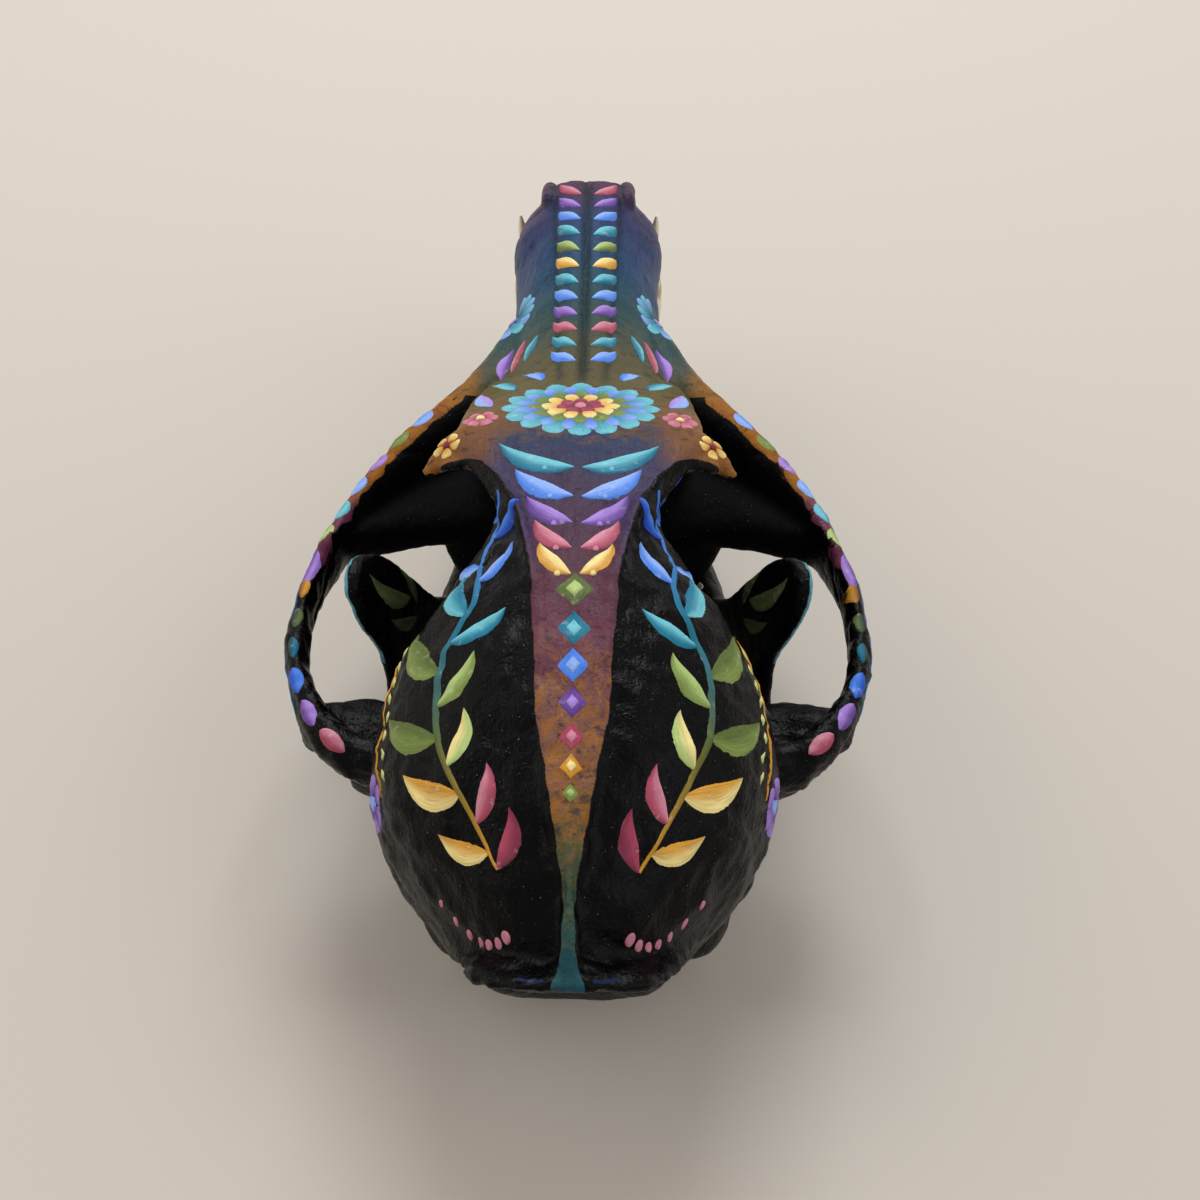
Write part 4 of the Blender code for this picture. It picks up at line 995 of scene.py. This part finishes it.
def jaw_half():
    """The right half: a curved bar for the teeth, and the blade that the jaw muscles pull on."""
    bar = sweep("jaw_bar", [
        (2.2, 141.5, -8.6, 2.6, 2.6), (2.7, 137.5, -10.0, 3.2, 4.2), (3.5, 131.0, -11.4, 3.4, 5.2),
        (6.8, 122.0, -12.0, 2.7, 5.5), (9.6, 111.0, -12.3, 2.8, 5.8), (12.6, 98.0, -12.6, 3.2, 6.5),
        (15.4, 86.0, -12.4, 3.2, 7.3), (18.6, 74.0, -11.2, 2.9, 8.0), (21.2, 63.0, -8.6, 2.2, 8.0),
        (22.6, 55.0, -6.0, 1.6, 7.0),
    ], rings=60)
    outline = [
        (74.0, -6.0), (69.0, 0.0), (65.6, 5.0), (63.6, 10.0), (62.6, 16.0), (62.0, 20.8), (60.4, 24.6),
        (57.8, 26.6), (55.2, 26.8), (52.6, 25.2), (51.0, 21.4), (50.2, 15.8), (47.0, 11.4), (42.6, 9.4),
        (42.6, 6.0), (45.4, 1.0), (44.6, -4.0), (40.0, -6.0), (37.4, -7.6), (39.4, -10.4), (43.0, -12.4),
        (52.0, -14.4), (62.0, -17.0), (70.0, -17.4),
    ]
    ramus = plate("ramus", outline, 2.2, ramus_middle)
    edge = [(74, -8, 2.0), (68.0, 1, 1.5), (63.6, 9, 1.2), (61.8, 16, 1.0), (60.6, 22.4, 0.8)]
    front_edge = sweep(
        "ramus_edge", [(ramus_middle(y, z), y, z, thick, thick) for y, z, thick in edge],
        upward=(0, 1, 0.2),
    )
    head = sweep("jaw_head", [
        (20.2, 41.6, 9.0, 1.7, 1.8), (22.4, 41.5, 9.4, 2.5, 2.4), (26.4, 41.4, 9.7, 2.6, 2.5),
        (30.6, 41.2, 9.9, 1.8, 1.8),
    ])
    neck = ellipsoid("jaw_neck", (24.6, 44.0, 6.4), (2.2, 3.0, 4.4))
    angle = ellipsoid("jaw_angle", (24.0, 43.6, -9.2), (2.0, 5.4, 2.9), turn=(-16, 0, 0))
    return [bar, ramus, front_edge, head, neck, angle]


def jaw_cutters():
    masseter_pit = ellipsoid("masseter_pit", (29.2, 58.0, 0.0), (6.0, 8.0, 10.0), turn=(-14, 0, 0))
    canal = ellipsoid("mental_foramen", (10.4, 119.0, -12.5), (1.6, 0.9, 0.7))
    midline = box("symphysis_gap", (-20, 120, -40), (CUT_GAP / 2, 160, 20))
    return [masseter_pit, canal, midline]


def jaw_relief(p, n):
    y, z = p[:, 1], p[:, 2]
    height = 0.08 * lumps(p, 6.0, 21) + 0.05 * lumps(p, 2.4, 23)
    ridge = off_line(np.stack([y, z], axis=1), [(78, -9), (70, -13), (60, -15.5), (50, -14)])
    height += 0.25 * np.exp(-((ridge / 1.6) ** 2)) * np.clip(n[:, 0] * 2, 0, 1)
    return height


def jaw_finish():
    finish, _, black, fine, _ = acrylic_black("painted_jaw")
    line = (finish.spot("rim") + (fine - 0.5) * 0.2).between(-0.06, 0.1)
    finish.feed("Base Color", finish.mixed(line, black, RIM_LINE))
    finish.feed("Roughness", 0.28 + fine * 0.16 + line * 0.06)
    return finish.material


def rim_edge(p, n):
    """How far inside the pale line each point lies: it runs over the top rim of the blade."""
    rim = [(62.2, 22.0), (60.8, 24.9), (57.9, 27.0), (55.1, 27.3), (52.2, 25.6), (50.5, 21.4), (49.7, 16)]
    outer = n[:, 0] * np.sign(p[:, 0]) - 0.25
    return np.where(p[:, 2] > 14, np.minimum(1.1 - off_line(p[:, 1:], rim), outer), -1)


right_jaw = fused(joined("jaw_bone_right", jaw_half()), JAW_GRID, 4)
right_jaw = carve(right_jaw, joined("jaw_pits", jaw_cutters()))
right_jaw = largest_body(right_jaw)
left_jaw = mirrored(right_jaw)
left_jaw.name = "jaw_bone_left"
jaw_material = jaw_finish()
jaw_skins = {}
for bone, node, side in ((right_jaw, "mandible_right", 1), (left_jaw, "mandible_left", -1)):
    shaped(bone, jaw_relief)
    p, n = points_of(bone), normals_of(bone)
    jaw_skins[side] = skin_of(p, bone)
    marked(bone, "rim", rim_edge(p, n))
    set_down(bone)
    p = points_of(bone)
    p[:, 2] = np.maximum(p[:, 2], 0)
    move_points(bone, p)
    bone.data.materials.append(jaw_material)
    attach(bone, "root")
    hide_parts(node)
    node + "_paint"

# Ornament
# Thick acrylic laid on with a round brush: rosettes, leaves, lozenges and thin lines, each stroke a low
# ridge of paint that follows the bone, darker where the brush was pressed and lighter at its edge.

# paints, and the hair tracks' length, spread and shift from one stroke to the next
TEAL, AQUA, DEEP_BLUE = (0, 112, 142), (112, 196, 212), (16, 76, 196)
BLUE, SKY, LILAC = (70, 128, 226), (142, 178, 244), (170, 132, 218)
PURPLE, OLIVE, MOSS = (98, 62, 148), (84, 100, 44), (124, 144, 70)
LIME, GOLD, CREAM = (176, 200, 122), (212, 150, 44), (248, 228, 152)
RUST, BOTTLE, NAVY = (112, 66, 30), (28, 60, 54), (14, 28, 70)
DARK_MOSS, DULL_MOSS, DARK_LEAF, DULL_LEAF = (62, 74, 42), (92, 104, 62), (52, 62, 36), (78, 90, 52)
WINE, ROSE, PINK = (126, 44, 70), (168, 66, 92), (212, 136, 156)


VINE = [
    (-13.4, 60.0), (-11.4, 52.0), (-12.6, 43.5), (-9.6, 35.5), (-9.0, 28.0), (-11.6, 19.5), (-14.6, 11.0),
]
VINE_STEPS = 80
SHEET_HEIGHT = 120
SHEET_DEPTH = 90
EDGE_SINK = 0.05
HAIR_RUN, HAIR_SPREAD = 6, 2
HAIR_SHIFT = (7.3, 3.1)


class Strokes:
    """Brush strokes gathered into one mesh, with each point's colour and its place in its stroke."""

    def __init__(self):
        self.points, self.faces, self.colours, self.brush = [], [], [], []
        self.count = 0

    def add(self, grid, across, first, second, loaded):
        """Rows of points along the stroke. The colour runs from first to second along it or, with a
        brush loaded with two paints, from one side to the other."""
        rows, columns = grid.shape[:2]
        start = len(self.points)
        self.count += 1
        one, two = np.array(tint(*first)), np.array(tint(*second))
        for r in range(rows):
            for c in range(columns):
                self.points.append(grid[r, c])
                along = r / (rows - 1)
                share = 1 / (1 + math.exp(-5 * across[c] - 1.2 * (along - 0.5))) if loaded else along**1.3
                self.colours.append(one + (two - one) * share)
                spread = across[c] * HAIR_SPREAD + self.count * HAIR_SHIFT[0]
                self.brush.append((along * HAIR_RUN, spread, self.count * HAIR_SHIFT[1]))
        for r in range(rows - 1):
            for c in range(columns - 1):
                a = start + r * columns + c
                self.faces.append((a, a + 1, a + columns + 1, a + columns))


strokes = Strokes()


class Sheet:
    """A flat drawing sheet over the bone: what is drawn at (u, v) falls on the skin below it."""

    def __init__(self, lean, side=1, skin=cranium_skin):
        c, s = math.cos(math.radians(lean)), math.sin(math.radians(lean))
        self.right, self.up, self.forward = np.array([c, 0, -s]), np.array([s, 0, c]), np.array([0, 1.0, 0])
        self.mirror = np.array([side, 1, 1])
        self.skin = skin

    def on_skin(self, u, v, lift):
        start = (u * self.right + v * self.forward + SHEET_HEIGHT * self.up) * self.mirror
        way = -self.up * self.mirror
        place, normal, _, _ = self.skin.ray_cast(Vector(start), Vector(way))
        if place is None:
            place, normal, _, _ = self.skin.find_nearest(Vector(start + way * SHEET_DEPTH))
        return np.array(place) + np.array(normal) * lift

    def stroke(self, line, widths, first, second=None, height=0.16, columns=7, loaded=False):
        """Paint along a line of (u, v), with the full width at each of its points."""
        line, widths = np.array(line, float), np.array(widths, float)
        tangent = np.gradient(line, axis=0)
        tangent /= np.maximum(np.linalg.norm(tangent, axis=1), 1e-9)[:, None]
        side = np.stack([tangent[:, 1], -tangent[:, 0]], axis=1)
        across = np.linspace(-1, 1, columns)
        most = widths.max()
        grid = np.empty((len(line), columns, 3))
        for r in range(len(line)):
            for c, share in enumerate(across):
                u, v = line[r] + side[r] * widths[r] / 2 * share
                swell = (1 - share**2) ** 0.5 * (0.35 + 0.65 * (widths[r] / most) ** 0.5)
                grid[r, c] = self.on_skin(u, v, height * swell - EDGE_SINK * (abs(share) > 0.99))
        strokes.add(grid, across, first, second or first, loaded)

    def leaf(self, root, tip, width, first, second=None, bend=0.0, fullness=0.85, **kwargs):
        """A pointed leaf, widest a little before its middle."""
        root, tip = np.array(root, float), np.array(tip, float)
        run = tip - root
        t = np.linspace(0, 1, 17)
        off = np.array([run[1], -run[0]]) * bend
        line = root + run * t[:, None] + off * (4 * t * (1 - t))[:, None]
        widths = width * np.sin(np.pi * t**0.85) ** fullness
        widths[0], widths[-1] = 0.08 * width, 0.02 * width
        self.stroke(line, widths, first, second, columns=9, loaded=True, **kwargs)

    def petal(self, root, tip, width, first, second=None, **kwargs):
        """A petal: narrow at its root, round at its tip."""
        root, tip = np.array(root, float), np.array(tip, float)
        t = np.linspace(0, 1, 14)
        line = root + (tip - root) * t[:, None]
        widths = width * np.sqrt(np.clip(1 - (2 * t**1.6 - 1) ** 2, 0.002, 1))
        self.stroke(line, widths, first, second, **kwargs)

    def lozenge(self, centre, long, wide, first, second=None, **kwargs):
        """A diamond, its long way forward."""
        t = np.linspace(0, 1, 11)
        line = np.array(centre, float) + np.array([0, 1.0]) * (t[:, None] - 0.5) * long
        widths = wide * np.maximum(1 - np.abs(2 * t - 1) ** 1.15, 0.02)
        self.stroke(line, widths, first, second, **kwargs)

    def bead(self, centre, size, first, height=0.22):
        """A round drop of paint."""
        t = 0.5 - 0.5 * np.cos(np.linspace(0, math.pi, 9))
        line = np.array(centre, float) + np.array([0, 1.0]) * (t[:, None] - 0.5) * size
        widths = size * np.sqrt(np.clip(1 - (2 * t - 1) ** 2, 0.0004, 1))
        self.stroke(line, widths, first, first, height=height, columns=7)

    def line(self, points, width, first, second=None, steps=60, **kwargs):
        """A thin line through points."""
        rows = flat_curve(points, steps)
        t = np.linspace(0, 1, steps)
        widths = width * np.clip(np.minimum(t, 1 - t) * 14, 0.05, 1) ** 0.5
        self.stroke(rows, widths, first, second, columns=5, **kwargs)

    def floret(self, centre, size, petals, outer, inner, heart):
        """A small round flower."""
        for k in range(petals):
            a = 2 * math.pi * (k + 0.5) / petals
            way = np.array([math.sin(a), math.cos(a)]) * size
            self.petal(np.array(centre) + way * 0.1, np.array(centre) + way / 2, size * 0.4, inner, outer)
        self.bead(centre, size * 0.28, heart, height=0.32)


top = Sheet(0)
middle = np.array([0, 77.4])
for count, near, far, width, inner, outer, turn, height in (
    (16, 4.6, 10.2, 3.3, TEAL, AQUA, 0.0, 0.14), (16, 4.2, 8.6, 2.2, DEEP_BLUE, SKY, 0.5, 0.20),
    (12, 2.8, 6.8, 2.7, OLIVE, MOSS, 0.0, 0.26), (10, 1.8, 5.2, 2.5, GOLD, CREAM, 0.5, 0.34),
    (7, 0.4, 3.2, 2.3, WINE, ROSE, 0.0, 0.44),
):
    for k in range(count):
        a = 2 * math.pi * (k + turn) / count
        way = np.array([math.sin(a), 0.8 * math.cos(a)])
        top.petal(middle + way * near, middle + way * far, width, inner, outer, height=height)
top.bead(middle, 2.0, PINK, height=0.56)

for side in (1, -1):
    roof = Sheet(0, side)
    roof.floret((12.6, 74.4), 4.6, 6, PINK, ROSE, CREAM)
    roof.floret((16.6, 70.2), 3.6, 5, CREAM, GOLD, WINE)
    roof.leaf((11.4, 78.6), (13.4, 84.6), 2.4, LILAC, SKY, bend=0.1)
    roof.leaf((8.8, 84.0), (12.2, 87.6), 2.2, TEAL, AQUA, bend=-0.1)
    roof.leaf((5.4, 87.0), (9.0, 92.4), 2.3, BLUE, SKY, bend=-0.1)
    cheek = Sheet(50, side)
    cheek.leaf((-5.4, 103.6), (-6.0, 95.6), 2.5, LILAC, PURPLE, bend=-0.1)
    cheek.leaf((-8.4, 103.0), (-8.6, 95.4), 2.1, PINK, ROSE, bend=-0.1)
    cheek.leaf((-11.0, 102.4), (-10.8, 96.4), 1.7, AQUA, TEAL, bend=-0.1)
    for y, reach, width, dark, light in (
        (66.4, 9.8, 3.0, TEAL, AQUA), (61.6, 7.6, 2.9, BLUE, SKY), (57.0, 6.0, 2.6, PURPLE, LILAC),
        (52.8, 4.9, 2.4, ROSE, PINK), (48.8, 4.2, 2.3, GOLD, CREAM),
    ):
        roof.leaf((0.5, y - 3.6), (reach, y + 1.4), width, light, dark, bend=0.13)
        roof.bead((0.36 * reach + 0.5, y - 3.6), 0.8, light)
for y, outer, inner, size in (
    (42.8, OLIVE, LIME, 5.2), (37.4, TEAL, AQUA, 4.5), (32.6, BLUE, SKY, 4.2), (28.2, PURPLE, LILAC, 3.7),
    (24.2, ROSE, PINK, 3.2), (20.8, GOLD, CREAM, 2.8), (17.9, MOSS, LIME, 2.1),
):
    top.lozenge((0, y), size, size * 0.88, outer, outer, height=0.16)
    top.lozenge((0, y), size * 0.52, size * 0.46, inner, inner, height=0.36)

snout_run = (ROSE, PURPLE, BLUE, TEAL, OLIVE, GOLD, TEAL, BLUE, PURPLE, ROSE, TEAL, BLUE)
snout_light = (PINK, LILAC, SKY, AQUA, LIME, CREAM, AQUA, SKY, LILAC, PINK, AQUA, SKY)
for side in (1, -1):
    nose = Sheet(0, side)
    for k, (dark, light) in enumerate(zip(snout_run, snout_light)):
        y = 138.8 - 4.05 * k
        nose.leaf((1.0, y - 2.2), (4.5, y + 1.9), 2.2, light, dark, bend=0.1)
    flank = Sheet(50, side)
    for k in range(7):
        a = math.radians(-80 + 26 * k)
        middle = np.array([-2.4, 112.0])
        way = np.array([-math.cos(a), math.sin(a)])
        flank.petal(middle + way * 1.5, middle + way * 5.2, 2.1, TEAL, AQUA if k % 2 else SKY)
    flank.bead((-2.4, 112.0), 2.2, LILAC)

for side in (1, -1):
    vault = Sheet(34, side)
    path = flat_curve(VINE, VINE_STEPS)
    vault.stroke(path[:30], np.linspace(0.5, 1.0, 30), BLUE, TEAL, height=0.18, columns=5)
    vault.stroke(path[29:55], np.full(26, 1.05), TEAL, OLIVE, height=0.18, columns=5)
    vault.stroke(path[54:79], np.linspace(1.05, 0.4, 25), OLIVE, GOLD, height=0.18, columns=5)
    for at, hand, first, second, long in (
        (4, 1, DEEP_BLUE, BLUE, 7.2), (9, -1, DEEP_BLUE, BLUE, 5.6), (17, 1, BLUE, SKY, 7.0),
        (22, -1, BLUE, SKY, 6.4), (30, 1, TEAL, AQUA, 9.0), (36, -1, TEAL, AQUA, 7.4),
        (42, 1, OLIVE, MOSS, 10.6), (48, -1, MOSS, LIME, 7.4), (54, 1, OLIVE, MOSS, 10.0),
        (60, -1, LIME, CREAM, 6.6), (65, 1, GOLD, CREAM, 8.8), (70, -1, ROSE, PINK, 6.2),
        (75, 1, GOLD, CREAM, 6.8), (78, -1, WINE, ROSE, 6.2),
    ):
        here, ahead = path[at], path[min(at + 1, VINE_STEPS - 1)]
        way = (ahead - here) / np.linalg.norm(ahead - here)
        out = np.array([way[1], -way[0]]) * -hand
        tip = here + (-way * 0.74 + out * 0.68) * long
        vault.leaf(here, tip, 0.36 * long, first, second, bend=0.13 * hand)
    for k in range(7):
        vault.bead((-13.0 + 1.35 * k, 5.6 + 0.22 * (k - 1) ** 2), 1.2 - 0.09 * k, PINK)
    low = Sheet(74, side)
    low.line([(-22.6, 46), (-23.4, 38), (-22.6, 30), (-21.4, 24)], 0.55, GOLD, GOLD, height=0.14)
    for k in range(9):
        low.lozenge((-24.6 + 0.05 * (k - 4) ** 2, 44.0 - 2.3 * k), 1.5, 0.8, LIME, CREAM)
    low.floret((-17.6, 25.0), 6.6, 6, LILAC, PURPLE, SKY)
    nape = Sheet(0, side)
    nape.line([(2.4, 0.2), (3.6, 0.3), (5.2, 0.8)], 0.6, NAVY, NAVY, height=0.06)

arch_paint = (
    (BLUE, SKY), (OLIVE, MOSS), (PURPLE, LILAC), (BLUE, SKY), (TEAL, AQUA), (OLIVE, LIME), (PURPLE, LILAC),
    (RUST, GOLD), (BOTTLE, OLIVE), (BOTTLE, TEAL), (DEEP_BLUE, BLUE), (PURPLE, LILAC), (ROSE, PINK),
)
for side in (1, -1):
    rail = Sheet(24, side)
    middle_line = np.array([
        (20.6, 91.4, 14.0), (26.2, 84.0, 14.6), (30.2, 76.6, 15.6), (32.8, 69.0, 17.0), (34.6, 59.5, 18.0),
        (35.2, 51.5, 19.0), (34.2, 44.0, 20.0), (31.0, 37.4, 20.0), (26.4, 33.4, 20.0),
    ])
    course = flat_curve([(p @ rail.right, p[1]) for p in middle_line], 66)
    for k, (dark, light) in enumerate(arch_paint):
        here, ahead = course[5 * k], course[min(5 * k + 3, 65)]
        way = (ahead - here) / np.linalg.norm(ahead - here)
        slim = 5 < k < 10
        long = 6.8 if k == 6 else 3.2 if slim else 3.8
        rail.leaf(here, here + way * long, 1.5 if slim else 2.3, dark, light, fullness=0.6)
    rim = Sheet(88, side)
    under = [(-14.6, 74), (-16.0, 64), (-16.6, 54), (-17.4, 46), (-17.2, 40)]
    rim.line(under, 0.6, DEEP_BLUE, TEAL, height=0.12)

for side, skin in jaw_skins.items():
    blade_face = Sheet(-90, side, skin)
    blade_face.leaf((15.6, 59.8), (25.0, 56.8), 2.8, DARK_MOSS, DULL_MOSS, bend=0.16, height=0.1)
    blade_face.leaf((13.6, 60.2), (19.6, 61.4), 2.1, DARK_LEAF, DULL_LEAF, bend=-0.12, height=0.1)
    blade_face.leaf((12.8, 58.6), (18.6, 54.2), 2.0, DARK_LEAF, DULL_LEAF, bend=0.12, height=0.1)

ornament = new_object("ornament", strokes.points, strokes.faces)
pigment = np.insert(np.array(strokes.colours), 3, 1, axis=1)
marked(ornament, "pigment", pigment, "FLOAT_COLOR")
marked(ornament, "brush", strokes.brush, "FLOAT_VECTOR")
set_down(ornament)


def thick_paint():
    """Opaque acrylic with the hairs' tracks along each stroke."""
    finish = Finish("ornament_paint", Roughness=0.4, Specular_IOR_Level=0.2)
    brush = finish.spot("brush", "Vector")
    place = finish.spot("skull", "Vector")
    hairs = finish.speckle(finish.stretched(brush, (0.35, 3.0, 1.0)), 1.6, 4.0)
    cloud = finish.speckle(place, 0.9, 3.0)
    pigment = finish.spot("pigment", "Color")
    shade = finish.mixed(hairs.between(0.46, 0.7) * 0.28, pigment, tint(30, 26, 30))
    finish.feed("Base Color", finish.mixed(cloud.between(0.58, 0.8) * 0.25, shade, tint(250, 244, 226)))
    finish.feed("Roughness", 0.3 + hairs * 0.2)
    finish.raised((hairs, 0.00009), (cloud, 0.00004))
    return finish.material


ornament.data.materials.append(thick_paint())
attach(ornament, "root")

# Floor, light and camera
# A plain pale floor under a warm sky, a soft lamp high in front, a warm one on the left and a cool one
# behind on the right, and the camera above and behind the head.

FLOOR_SIZE = 1.5
SKY_COLOUR, SKY_STRENGTH = (1.0, 0.97, 0.93, 1), 0.54
LAMP_AIM = Vector((0, 0, 0.03))
SENSOR = 36
CAMERA_TARGET = Vector((2.66, 56.55, 20.0))
CAMERA_DISTANCE = 202.3
CAMERA_RISE, CAMERA_SWING, CAMERA_ROLL = math.radians(55.9), math.radians(0.57), math.radians(-0.03)
FOCAL = 1588.2 / 1200 * SENSOR

floor = bpy.data.objects.new("floor", bpy.data.meshes.new("floor"))
reworked(floor.data, lambda work: bmesh.ops.create_grid(work, x_segments=1, y_segments=1, size=FLOOR_SIZE))
bpy.context.scene.collection.objects.link(floor)
floor_finish = Finish("floor_paper", Base_Color=(*tint(196, 188, 178), 1), Roughness=0.85)
floor.data.materials.append(floor_finish.material)

bpy.context.scene.view_settings.view_transform = "Standard"
world = bpy.data.worlds.new("studio")
bpy.context.scene.world = world
world.use_nodes = True
sky = world.node_tree.nodes["Background"].inputs
sky["Color"].default_value = SKY_COLOUR
sky["Strength"].default_value = SKY_STRENGTH

for name, place, size, power, colour in (
    ("overhead", (0.02, 0.50, 0.68), 0.42, 4.6, (0.94, 0.97, 1)),
    ("window", (-0.80, 0.10, 0.55), 0.8, 2.2, (1, 0.94, 0.86)),
    ("back", (0.70, -0.25, 0.60), 0.7, 1.7, (0.96, 0.98, 1)),
):
    lamp = bpy.data.lights.new(name, "AREA")
    lamp.shape, lamp.size, lamp.energy, lamp.color = "SQUARE", size, power, colour
    holder = bpy.data.objects.new(name, lamp)
    holder.location = place
    holder.rotation_euler = (Vector(place) - LAMP_AIM).to_track_quat("Z", "Y").to_euler()
    bpy.context.scene.collection.objects.link(holder)

out = math.cos(CAMERA_RISE)
back = Vector((math.sin(CAMERA_SWING) * out, -math.cos(CAMERA_SWING) * out, math.sin(CAMERA_RISE)))
level = Vector((math.cos(CAMERA_SWING), math.sin(CAMERA_SWING), 0))
rise = back.cross(level)
right = math.cos(CAMERA_ROLL) * level + math.sin(CAMERA_ROLL) * rise
up = math.cos(CAMERA_ROLL) * rise - math.sin(CAMERA_ROLL) * level
stand = Matrix((right, up, back)).transposed().to_4x4()
stand.translation = (CAMERA_TARGET + back * CAMERA_DISTANCE) * MM
camera = bpy.data.objects.new("camera", bpy.data.cameras.new("camera"))
camera.data.sensor_width = SENSOR
camera.data.lens = FOCAL
camera.data.clip_start = 0.01
camera.matrix_world = rest_placement() @ stand
bpy.context.scene.collection.objects.link(camera)
bpy.context.scene.camera = camera
